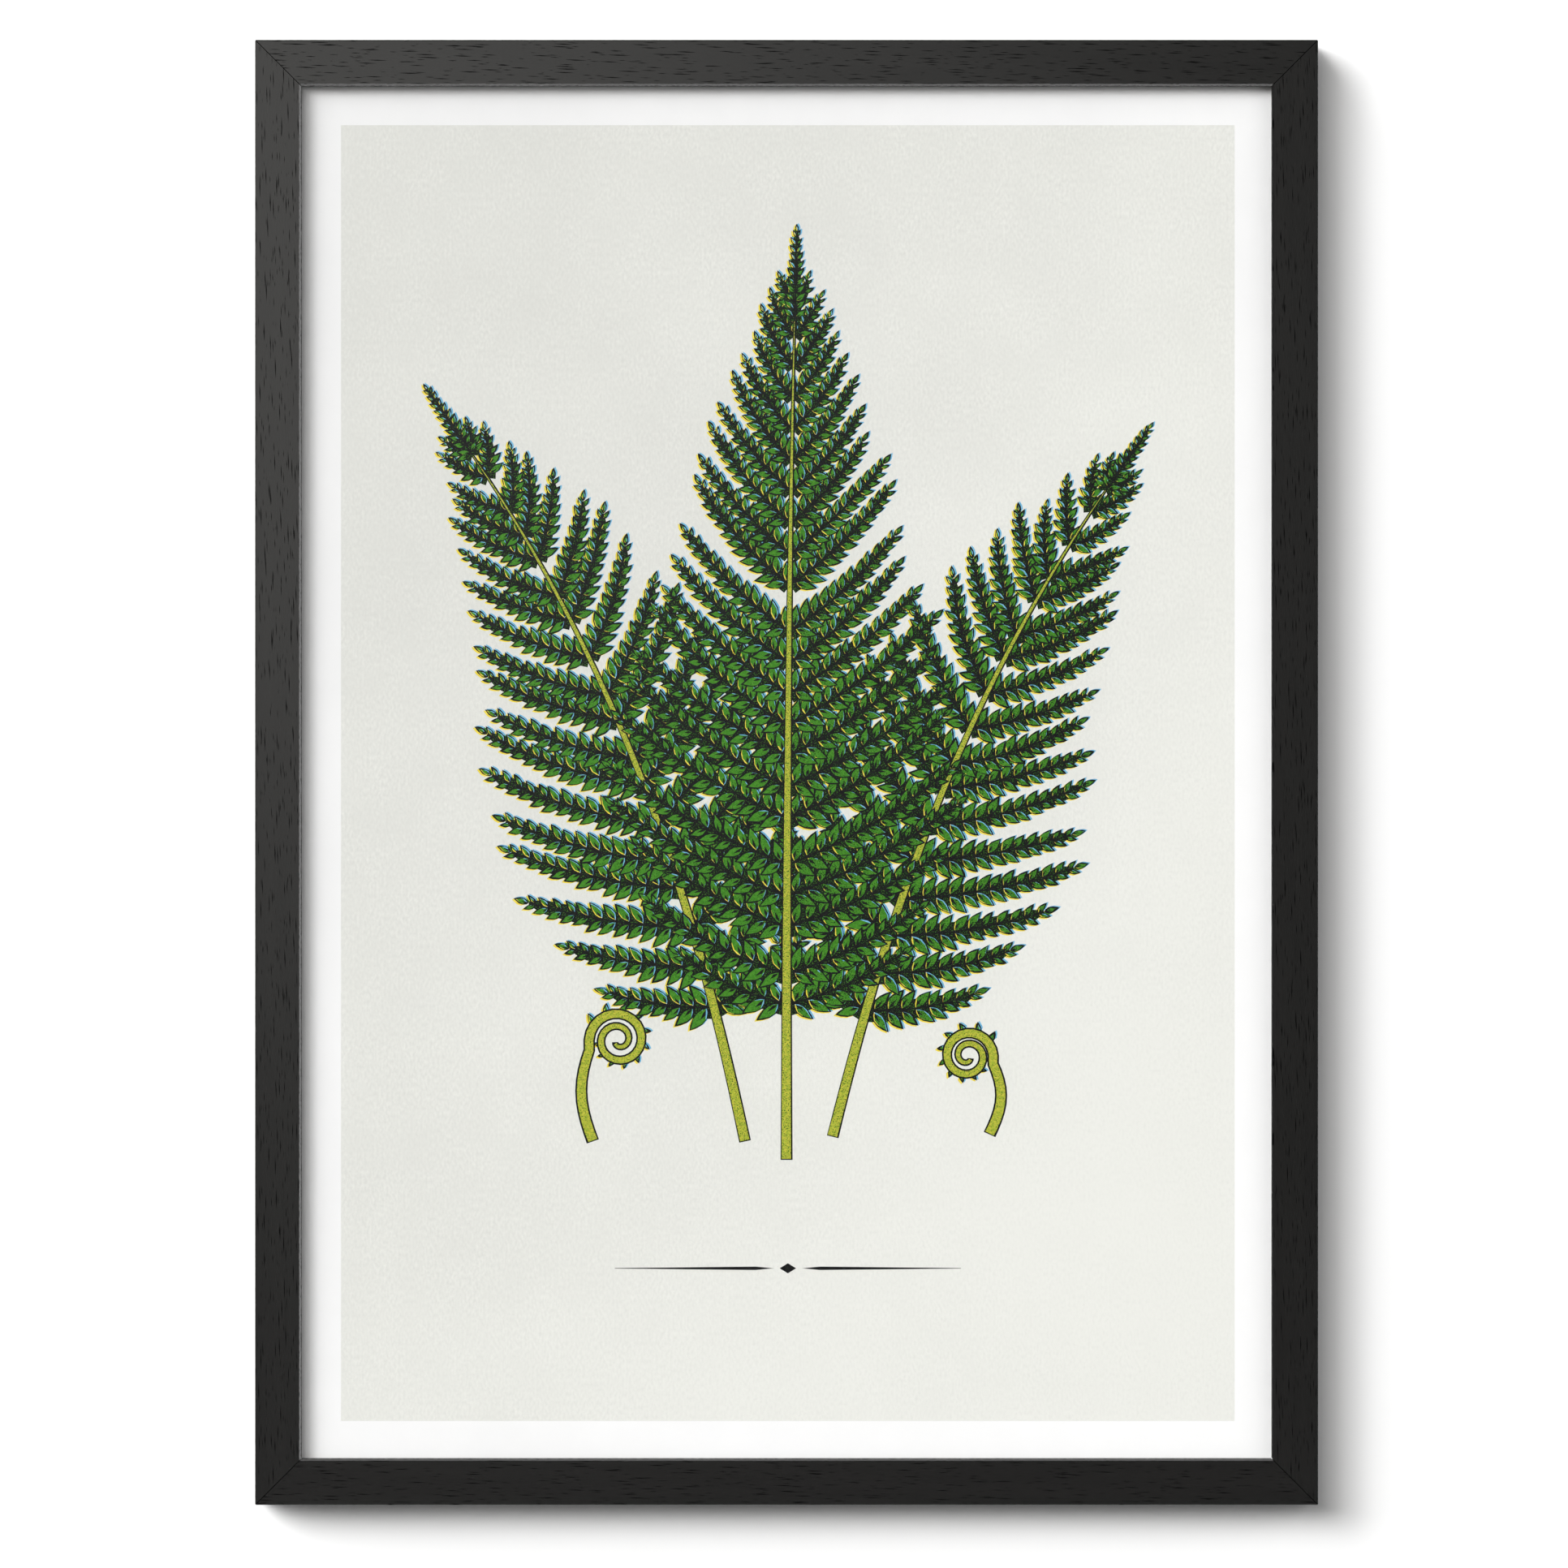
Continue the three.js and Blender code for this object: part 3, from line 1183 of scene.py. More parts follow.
    def _patches(self) -> tuple[list[Vector], list[list[int]], list[Shown]]:
        """Divides the sheet into triangles along its shown lines.

        Returns:
            The corners, each triangle's corners, and what each triangle shows.
        """
        old_spots, left = self._shown_lines()
        used = sorted({corner for edge in left for corner in edge})
        place = {old: n for n, old in enumerate(used)}
        lines = [edge for edge in left if edge[0] < edge[1] or edge[::-1] not in left]
        spots, edges, patches, _, sources, _ = delaunay_2d_cdt(
            [old_spots[n] for n in used], [(place[a], place[b]) for a, b in lines], [], 0, NEAR, True
        )
        sides: dict[tuple[int, int], Shown] = {}
        for (a, b), source in zip(edges, sources):
            if source:
                start, end = lines[source[0]]
                ahead = (old_spots[end] - old_spots[start]).dot(spots[b] - spots[a]) > 0
                line = (start, end) if ahead else (end, start)
                sides[a, b] = left.get(line, NOTHING)
                sides[b, a] = left.get(line[::-1], NOTHING)
        return spots, patches, self._spread(patches, sides)

    @staticmethod
    def _spread(patches: Sequence[Sequence[int]], sides: dict[tuple[int, int], Shown]) -> list[Shown]:
        """Carries what shows beside each line on to the triangles that touch no line.

        Args:
            patches: each triangle's corners.
            sides: what shows to the left of each line from corner to corner.

        Returns:
            What each triangle shows.
        """
        owner = {}
        for n, patch in enumerate(patches):
            for edge in zip(patch, patch[1:] + patch[:1]):
                owner[edge] = n
        shown = [NOTHING] * len(patches)
        waiting = []
        for edge, n in owner.items():
            if sides.get(edge, NOTHING) is not NOTHING and shown[n] is NOTHING:
                shown[n] = sides[edge]
                waiting.append(n)
        while waiting:
            patch = patches[waiting.pop()]
            here = shown[owner[patch[0], patch[1]]]
            for a, b in zip(patch, patch[1:] + patch[:1]):
                other = owner.get((b, a))
                if (a, b) not in sides and other is not None and shown[other] is NOTHING:
                    shown[other] = here
                    waiting.append(other)
        return shown

    def sheet(self, name: str, middle: Vector, thickness: float) -> bpy.types.Object:
        """Makes the sheet: its front in flat patches, each in its own ink.

        Args:
            name: the piece's name.
            middle: the middle of the sheet's front, in metres.
            thickness: the sheet's thickness, in metres.

        Returns:
            The piece, closed at the back and at its edges.
        """
        spots, patches, inks = self._patches()
        width = max(spot[0] for spot in spots)
        height = max(spot[1] for spot in spots)
        points = [(middle.x + x * MM, middle.y, middle.z + z * MM) for x, z in spots]
        rim = [
            next(n for n, spot in enumerate(spots) if abs(spot[0] - x) + abs(spot[1] - z) < NEAR * 10)
            for x, z in ((-width, -height), (width, -height), (width, height), (-width, height))
        ]
        first_rear = len(points)
        points += [(points[n][0], middle.y + thickness, points[n][2]) for n in rim]
        rear = list(range(first_rear, first_rear + 4))
        faces = [list(patch) for patch in patches]
        faces.append(rear[::-1])
        for n in range(4):
            after = (n + 1) % 4
            faces.append([rim[after], rim[n], rear[n], rear[after]])
        mesh = bpy.data.meshes.new(name)
        mesh.from_pydata(points, [], faces)
        shown = [int(ink) for ink, _ in inks]
        shown += [int(Ink.MARGIN)] * (len(faces) - len(shown))
        mesh.polygons.foreach_set("material_index", shown)
        shades = [
            shading.at(spots[corner])
            for patch, (_, shading) in zip(patches, inks)
            for corner in patch
        ]
        shades += [0.0] * (len(mesh.loops) - len(shades))
        shade = mesh.attributes.new(self.SHADE, "FLOAT", "CORNER")
        shade.data.foreach_set("value", np.array(shades, np.float32))
        mesh.update()
        piece = bpy.data.objects.new(name, mesh)
        bpy.context.scene.collection.objects.link(piece)
        return piece


@dataclass(frozen=True)
class LeafShape:
    """A pointed leaf in black line over yellow and blue that are a little out of register."""

    line: float = 0.5  # the outline's width
    yellow_slip: Point = (-0.72, -0.46)
    blue_slip: Point = (0.66, 0.34)
    stations: tuple[float, ...] = (0.12, 0.34, 0.6, 0.82)
    low_belly: float = 0.8  # below 1 the widest place lies nearer the foot
    fullness: float = 0.85  # below 1 the sides are rounder
    gaps: tuple[float, float, float] = (1.6, 2.2, 0.9)  # at foot, tip and sides, in outline widths
    line_spread: Point = (0.8, 1.35)  # the least and most of the outline's width
    uneven: Point = (0.14, 0.1)  # how far the outline's outer and inner sides stray
    thinnest: float = 0.08
    tip_shade: float = 0.25  # as a share of the foot's
    notched: float = 5.0  # a leaf over this length has a black notch along its middle
    notch_reach: Point = (0.4, 0.56)  # the least and most, as a share of the leaf's length
    notch_width: float = 0.26  # as a share of the leaf's
    notch_aside: float = 0.08  # how far it leans, as a share of the leaf's width

    def draw(
        self,
        picture: Picture,
        foot: Point,
        angle: float,
        length: float,
        width: float,
        bend: float,
        shade: float,
        chance: random.Random,
    ) -> None:
        """Draws one leaf.

        Args:
            picture: what it is drawn on.
            foot: where it leaves its stem.
            angle: its direction, in radians from the sheet's X.
            length: from foot to tip.
            width: at its widest.
            bend: how far its tip swings to the left, in millimetres.
            shade: how dark its foot is.
            chance: the source of its small unevenness.
        """
        cos, sin = math.cos(angle), math.sin(angle)

        def spot(run: float, off: float) -> Point:
            """Finds a place on the leaf.

            Args:
                run: the share of its length from the foot.
                off: the distance to the left of its middle.

            Returns:
                The place on the sheet.
            """
            off += bend * run * run
            run *= length
            return foot[0] + cos * run - sin * off, foot[1] + sin * run + cos * off

        def ring(inset: float, uneven: float) -> list[Point]:
            """Works out an outline of the leaf.

            Args:
                inset: how far it is drawn in.
                uneven: how far its sides stray.

            Returns:
                The outline's corners.
            """
            foot_gap, tip_gap, side_gap = self.gaps
            start, end = inset / length * foot_gap, 1 - inset / length * tip_gap
            sides: list[list[Point]] = [[], []]
            for part, way in enumerate((-1, 1)):
                for share in self.stations:
                    run = start + (end - start) * share
                    swell = math.sin(math.pi * share**self.low_belly) ** self.fullness
                    half = width / 2 * swell - inset * side_gap
                    half += chance.uniform(-uneven, uneven)
                    sides[part].append(spot(run, way * max(half, self.thinnest)))
            return [spot(start, 0.0), *sides[0], spot(end, 0.0), *sides[1][::-1]]

        outer = ring(0.0, self.uneven[0])
        axis = (cos * length, sin * length)
        coarse = [point for n, point in enumerate(outer) if n not in (1, 9)]
        for plate, (dx, dz) in ((Plate.YELLOW, self.yellow_slip), (Plate.BLUE, self.blue_slip)):
            picture.draw(plate, [(x + dx, z + dz) for x, z in coarse])
        picture.draw(Plate.LINE, outer)
        inner = ring(self.line * chance.uniform(*self.line_spread), self.uneven[1])
        picture.draw(Plate.LEAF, inner, Shading(foot, axis, shade, shade * self.tip_shade))
        if length > self.notched:
            reach = chance.uniform(*self.notch_reach)
            aside = chance.choice((-self.notch_aside, self.notch_aside)) * width
            half = self.notch_width / 2 * width
            sides = spot(0.24, aside - half), spot(0.26, aside + half)
            picture.draw(Plate.LINE, [spot(0.1, 0.0), sides[0], spot(reach, aside), sides[1]])


@dataclass(frozen=True)
class Frond:
    """A fern frond: a stalk, side stems in pairs and small leaves in pairs on each of those.

    Lengths are in millimetres and angles in degrees.
    """

    foot: Point
    length: float
    lean: float  # from upright at the foot, to the right
    sweep: float  # how far it turns by its tip, to the right
    spread: float  # the longest side stem
    pairs: int
    seed: int
    bare: float = 0.16  # the share of the stalk with no side stems
    tip: float = 0.905  # the share of the stalk where its last spray begins
    last_pair: float = 0.945  # the share of the stalk that its pairs of side stems run towards
    spray_scale: float = 0.56  # the size of the last spray's leaves as a share of the largest
    closing: float = 0.92  # below 1 the pairs draw together towards the tip
    first_reach: float = 0.5  # the lowest side stems' length as a share of the longest's
    swell: float = 2.3  # how fast the side stems lengthen from there
    taper: float = 0.72  # the power by which they shorten towards the tip
    peak: float = 0.86  # what the swell and taper come to where the side stems are longest
    shortest: float = 3.0
    opening: Point = (78, 38)  # between the stalk and its side stems, at the foot and the tip
    curl: Point = (14, 24)  # the least and most that a side stem turns back along the stalk
    shrink: float = 0.42  # how much smaller the leaves are by the tip
    leaf_pitch: float = 6.1
    leaf_length: float = 12.4
    leaf_width: Point = (0.4, 0.46)  # the least and most, as a share of the leaf's length
    leaf_angle: Point = (60, 38)  # from the side stem, at its foot and its tip
    leaf_bend: float = 0.13  # towards the side stem's tip, as a share of the leaf's length
    last_leaf: Point = (1.15, 0.42)  # length as a share of its neighbours', width of its length
    shade: float = 0.28  # how dark the leaves' feet are
    right_shade: float = 0.22  # how much darker they are to the right of the stalk
    stem_line: Point = (0.75, 0.35)  # the side stem's width at its foot and its tip
    dusk_width: float = 0.82  # of the dusk behind the leaves, as a share of their length
    dusk: Shading = Shading(at_foot=0.8, at_tip=0.8)
    stalk_width: float = 4.2
    stalk_line: float = 1.1  # what the black line takes of the stalk's width
    stalk_shade: Shading = Shading(at_foot=0.35, at_tip=0.35)
    leaf: LeafShape = LeafShape()

    def _path(self, steps: int = 60) -> list[tuple[float, float, float]]:
        """Works out the stalk's course.

        Args:
            steps: the number of lengths it is divided into.

        Returns:
            Its places, with its direction at each in radians from the sheet's X.
        """
        x, z = self.foot
        path = []
        for n in range(steps + 1):
            share = n / steps
            angle = math.radians(90 - self.lean - self.sweep * share**1.3)
            path.append((x, z, angle))
            x += math.cos(angle) * self.length / steps
            z += math.sin(angle) * self.length / steps
        return path

    def _reach(self, share: float) -> float:
        """Works out the side stems' length.

        Args:
            share: their place, from 0 at the lowest pair to 1.

        Returns:
            The length.
        """
        swelling = min(1.0, self.first_reach + self.swell * share)
        return self.spread * swelling * (1 - share) ** self.taper / self.peak + self.shortest

    def draw(self, picture: Picture) -> None:
        """Draws the frond, its side stems from the foot to the tip and its stalk over them.

        Args:
            picture: what it is drawn on.
        """
        chance = random.Random(self.seed)
        path = self._path()
        last = len(path) - 1
        wide, narrow = self.opening
        for n in range(self.pairs):
            share = (n / self.pairs) ** self.closing
            at = self.bare + (self.last_pair - self.bare) * share
            x, z, angle = path[round(at * last)]
            opening = math.radians(wide - (wide - narrow) * share)
            scale = 1 - self.shrink * share**1.5
            for way in (-1, 1):
                reach = self._reach(share) * chance.uniform(0.94, 1.05)
                self._side_stem(picture, (x, z), angle, way, opening, reach, scale, chance)
        x, z, angle = path[round(self.tip * last)]
        reach = (1 - self.tip) * self.length
        self._side_stem(picture, (x, z), angle, 0, 0.0, reach, self.spray_scale, chance)
        self._stalk(picture, path)

    def _side_stem(
        self,
        picture: Picture,
        foot: Point,
        heading: float,
        way: int,
        opening: float,
        reach: float,
        scale: float,
        chance: random.Random,
    ) -> None:
        """Draws one side stem: the dusk behind its leaves, the leaves and the stem's own line.

        Args:
            picture: what it is drawn on.
            foot: where it leaves the stalk.
            heading: the stalk's direction there, in radians from the sheet's X.
            way: 1 to the left, -1 to the right, and 0 straight on.
            opening: the angle between it and the stalk, in radians.
            reach: its length.
            scale: its leaves' size as a share of the largest.
            chance: the source of its unevenness.
        """
        curl = math.radians(chance.uniform(*self.curl))
        steps = max(round(reach / (self.leaf_pitch * scale)), 1)
        pitch = reach / steps
        angle = heading + way * opening
        x, z = foot
        line = [(x, z, angle)]
        for _ in range(steps):
            angle -= way * curl / steps
            x += math.cos(angle) * pitch
            z += math.sin(angle) * pitch
            line.append((x, z, angle))
        shade = self.shade + self.right_shade * (way < 0) + chance.uniform(-0.1, 0.12)
        longest = self.leaf_length * scale
        lengths = [longest * (0.5 + 0.5 * (1 - n / steps) ** 0.7) for n in range(steps + 1)]
        places = [(px, pz) for px, pz, _ in line]
        dusk = [length * self.dusk_width for length in lengths]
        dusk[-1] *= 0.3
        picture.stroke(Plate.DUSK, places, dusk, self.dusk)
        wide, narrow = self.leaf_angle
        for n in range(steps, 0, -1):
            share = (n - 0.5) / steps
            spot = ((line[n - 1][0] + line[n][0]) / 2, (line[n - 1][1] + line[n][1]) / 2)
            for side in (-1, 1):
                turn = math.radians(wide - (wide - narrow) * share + chance.uniform(-5, 5))
                angle = line[n][2] + side * turn
                long = lengths[n] * chance.uniform(0.92, 1.08)
                width = long * chance.uniform(*self.leaf_width)
                bend = -side * long * self.leaf_bend
                self.leaf.draw(picture, spot, angle, long, width, bend, shade, chance)
        x, z, angle = line[-1]
        long = lengths[-1] * self.last_leaf[0]
        width = long * self.last_leaf[1]
        self.leaf.draw(picture, (x, z), angle, long, width, 0.0, shade, chance)
        thick, thin = self.stem_line
        widths = [thick - (thick - thin) * n / steps for n in range(steps + 1)]
        picture.stroke(Plate.LINE, places, widths)

    def _stalk(self, picture: Picture, path: Sequence[tuple[float, float, float]]) -> None:
        """Draws the stalk: a black line on both sides of a sunlit core.

        Args:
            picture: what it is drawn on.
            path: the stalk's places and directions.
        """
        places = [(x, z) for x, z, _ in path[: round(len(path) * self.tip) : 2]]
        count = len(places)
        widths = [self.stalk_width * (1 - n / count) ** 0.8 + 1.0 for n in range(count)]
        picture.stroke(Plate.LINE, places, widths)
        core = [max(width - self.stalk_line, 0.15) for width in widths]
        lit = [(x - 0.12, z + (0.5 if n == 0 else 0)) for n, (x, z) in enumerate(places)]
        picture.stroke(Plate.STALK, lit, core, self.stalk_shade)


@dataclass(frozen=True)
class Crozier:
    """A young frond that is still rolled up."""

    foot: Point
    rise: float
    curl: float  # the radius of the roll's outer turn
    way: int  # 1 rolls to the right and -1 to the left
    width: float = 4.6
    turns: float = 1.9
    bow: float = 5.0  # how far the stem bends to the outside
    eye: float = 1.6  # the radius left at the roll's middle
    stem_steps: int = 10
    roll_steps: int = 44
    leafy: range = range(12, 34, 2)  # the places with a leaf on the outer side
    leaf_angle: float = 62.0  # from the roll, in degrees
    leaf_length: float = 7.5
    leaf_shrink: float = 0.12  # from place to place
    taper: float = 0.62  # how much thinner it is by the roll's middle
    shade: Shading = Shading(at_foot=0.3, at_tip=0.3)
    leaf: LeafShape = LeafShape(stations=(0.2, 0.5, 0.8))

    def _path(self) -> list[Point]:
        """Works out the course of the stem and its roll.

        Returns:
            The places from the foot to the roll's middle.
        """
        x, z = self.foot
        path: list[Point] = []
        for n in range(self.stem_steps):
            share = n / self.stem_steps
            aside = self.way * self.bow * math.sin(math.pi * share)
            path.append((x - aside, z + self.rise * share))
        middle = (x + self.way * self.curl, z + self.rise)
        for n in range(self.roll_steps + 1):
            share = n / self.roll_steps
            angle = math.pi - share * self.turns * math.tau
            radius = self.curl * (1 - share) ** 0.85 + self.eye
            aside = self.way * radius * math.cos(angle)
            path.append((middle[0] + aside, middle[1] + radius * math.sin(angle)))
        return path

    def draw(self, picture: Picture) -> None:
        """Draws the stem and its roll, with small leaves on the outer side.

        Args:
            picture: what it is drawn on.
        """
        chance = random.Random(round(self.rise))
        path = self._path()
        count = len(path)
        widths = [self.width * (1 - self.taper * n / count) for n in range(count)]
        for n in self.leafy:
            (ax, az), (bx, bz) = path[n - 1], path[n + 1]
            heading = math.atan2(bz - az, bx - ax) + self.way * math.radians(self.leaf_angle)
            long = self.leaf_length - self.leaf_shrink * n
            self.leaf.draw(picture, path[n], heading, long, long * 0.5, 0.0, 0.3, chance)
        picture.stroke(Plate.LINE, path, [width + 1.0 for width in widths])
        x, z = self.foot
        core = [(x, z + 0.5), *path[1:-1]]
        picture.stroke(Plate.STALK, core, [max(width - 0.5, 0.3) for width in widths[:-1]], self.shade)


@dataclass
class PrintedSheet:
    """A white sheet with an off-white printed area, three fern fronds and a plain swelled rule."""

    panel_width: float = 387.4
    panel_height: float = 561.8
    panel_middle: Point = (0.55, -0.3)
    rule_height: float = -215.0  # of the rule, from the sheet's middle
    rule_length: float = 150.0
    rule_gap: float = 6.0  # from its middle to where each half begins
    rule_belly: float = 14.0  # from its middle to where each half is thickest
    rule_thickness: Point = (1.5, 0.24)  # at its thickest and at its end
    lozenge: Point = (7.2, 4.4)  # its width and height
    fronds: tuple[Frond, ...] = (
        Frond((-18, -160), 358, -12, -26, 78, 18, 11),
        Frond((20, -158), 340, 14, 24, 74, 17, 23),
        Frond((0, -168), 404, 0, 1.5, 88, 22, 5),
    )
    croziers: tuple[Crozier, ...] = (
        Crozier((-84, -160), 44, 11, 1),
        Crozier((88, -157), 34, 9.5, -1),
    )

    def build(self) -> None:
        """Draws the picture, makes the sheet and dresses it."""
        low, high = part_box("print_sheet")
        middle = (low + high) / 2
        picture = Picture()
        picture.rectangle(Plate.MARGIN, (0, 0), (high.x - low.x) / MM, (high.z - low.z) / MM)
        picture.rectangle(Plate.PANEL, self.panel_middle, self.panel_width, self.panel_height)
        for motif in (*self.croziers, *self.fronds):
            motif.draw(picture)
        self._rule(picture)
        front = Vector((middle.x, low.y, middle.z))
        piece = picture.sheet("printed_sheet", front, high.y - low.y)
        for finish in self.finishes():
            piece.data.materials.append(finish.material())
        seat(piece, "paper", "print_sheet")

    @staticmethod
    def finishes() -> list[Paper | PrintedInk]:
        """Lists the sheet's papers and inks.

        Returns:
            A finish for each Ink, in its order.
        """
        black = (0.0012, 0.0013, 0.0018)
        green = (0.037, 0.188, 0.01)
        light_green = (0.062, 0.24, 0.017)
        return [
            Paper("white_margin", (0.735, 0.735, 0.735), (0.87, 0.87, 0.87), 0.03),
            Paper("printed_panel", (0.602, 0.605, 0.575), (0.752, 0.756, 0.717), 0.95),
            PrintedInk("green_ink", green, light_green, black),
            PrintedInk("black_ink", black, (0.006, 0.007, 0.007), (0.02, 0.09, 0.01), 0.35),
            PrintedInk("yellow_ink", (0.72, 0.58, 0.04), (0.8, 0.66, 0.1), (0.35, 0.4, 0.03), 0.6),
            PrintedInk("blue_ink", (0.12, 0.38, 0.6), (0.2, 0.46, 0.65), (0.05, 0.2, 0.2), 0.6),
            PrintedInk("dusk_ink", (0.018, 0.12, 0.008), (0.06, 0.16, 0.012), black),
            PrintedInk("lit_ink", (0.3, 0.38, 0.03), (0.5, 0.47, 0.05), (0.03, 0.09, 0.01)),
        ]

    def _rule(self, picture: Picture) -> None:
        """Draws a rule that swells towards its middle, with a lozenge between its halves.

        Args:
            picture: what it is drawn on.
        """
        x = self.panel_middle[0]
        z = self.rule_height
        thick, thin = (value / 2 for value in self.rule_thickness)
        for way in (-1, 1):
            start, belly = x + way * self.rule_gap, x + way * self.rule_belly
            end = x + way * self.rule_length / 2
            upper = [(start, z), (belly, z + thick), (end, z + thin)]
            picture.draw(Plate.LINE, [*upper, (end, z - thin), (belly, z - thick)])
        wide, high = (value / 2 for value in self.lozenge)
        picture.draw(Plate.LINE, [(x - wide, z), (x, z - high), (x + wide, z), (x, z + high)])


# The glazing and the back


@dataclass
class Layers:
    """The flat sheets in the rebate besides the print."""

    arris: float = 0.25 * MM

    def _sheet(self, name: str, node: str, finish: bpy.types.Material, slot: str) -> None:
        """Makes a flat sheet with eased edges.

        Args:
            name: the piece's name.
            node: the CAD node that it replaces.
            finish: its material.
            slot: the record's material slot.
        """
        low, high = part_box(node)
        piece = add_block(name, low, high)
        apply_modifier(piece, "BEVEL", width=self.arris, segments=2)
        smooth(piece)
        dress(piece, finish, slot, node)

    def build(self) -> None:
        """Makes the glazing, the undermount card and the back."""
        self._sheet("clear_glazing", "glazing", ClearAcrylic().material(), "glazing")
        card = PressedBoard("cream_card", (0.74, 0.71, 0.62), (0.6, 0.56, 0.46), 0.1)
        self._sheet("mount_card", "undermount_card", card.material(), "card")
        brown = PressedBoard("brown_fibreboard", (0.235, 0.15, 0.085), (0.12, 0.07, 0.037), 0.5)
        self._sheet("fibreboard_back", "backing_board", brown.material(), "fibreboard")


@dataclass
class SteelPoints:
    """The flexible steel points that hold the back in the rebate."""

    sides: dict[Side, int] = field(
        default_factory=lambda: {Side.LEFT: 3, Side.TOP: 2, Side.RIGHT: 3, Side.BOTTOM: 2}
    )
    lift: float = 0.5 * MM  # how far the inner end springs off the board
    rounding: float = 0.42  # of the inner end's corners, as a share of the width
    edge: float = 0.08 * MM
    rib: float = 0.2 * MM  # how high the rib along the middle stands
    rib_width: float = 0.18  # as a share of the width

    def build(self) -> None:
        """Models each point in its place."""
        steel = PlatedSteel("rolled_steel", (0.42, 0.42, 0.43), (0.24, 0.23, 0.22), 0.28).material()
        for side, count in self.sides.items():
            for n in range(count):
                self._point(side, f"{side.node}_point_{n + 1}", steel)

    def _point(self, side: Side, node: str, steel: bpy.types.Material) -> None:
        """Models one point: a strip with a rounded end and a rib pressed along its middle.

        Args:
            side: the side that it is driven into.
            node: the CAD node that it replaces.
            steel: its material.
        """
        low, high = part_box(node)
        across, along = side.across, side.along
        piece = add_block("steel_" + node, low, high)
        inner = high[across] if side.inwards > 0 else low[across]
        length = high[across] - low[across]
        width = high[along] - low[along]
        near = 0.02 * MM
        for end in (low[along], high[along]):
            choose(
                piece,
                "EDGE",
                lambda corner: abs(corner[across] - inner) < near and abs(corner[along] - end) < near,
            )
            bpy.ops.mesh.bevel(
                offset=width * self.rounding, segments=6, profile=0.5, affect="EDGES"
            )
            close_edit()
        apply_modifier(piece, "BEVEL", width=self.edge, segments=2)
        choose_all(piece)
        bpy.ops.mesh.subdivide(number_cuts=1)
        close_edit()
        middle = (low[along] + high[along]) / 2
        start = inner - side.inwards * length
        for vertex in piece.data.vertices:
            run = (vertex.co[across] - start) * side.inwards / length
            aside = (vertex.co[along] - middle) / (self.rib_width * width)
            rib = self.rib * math.exp(-(aside**2))
            vertex.co.y += self.lift * run * run + rib * min(1.0, 4 * run * (1 - run))
        smooth(piece)
        dress(piece, steel, "steel", node)


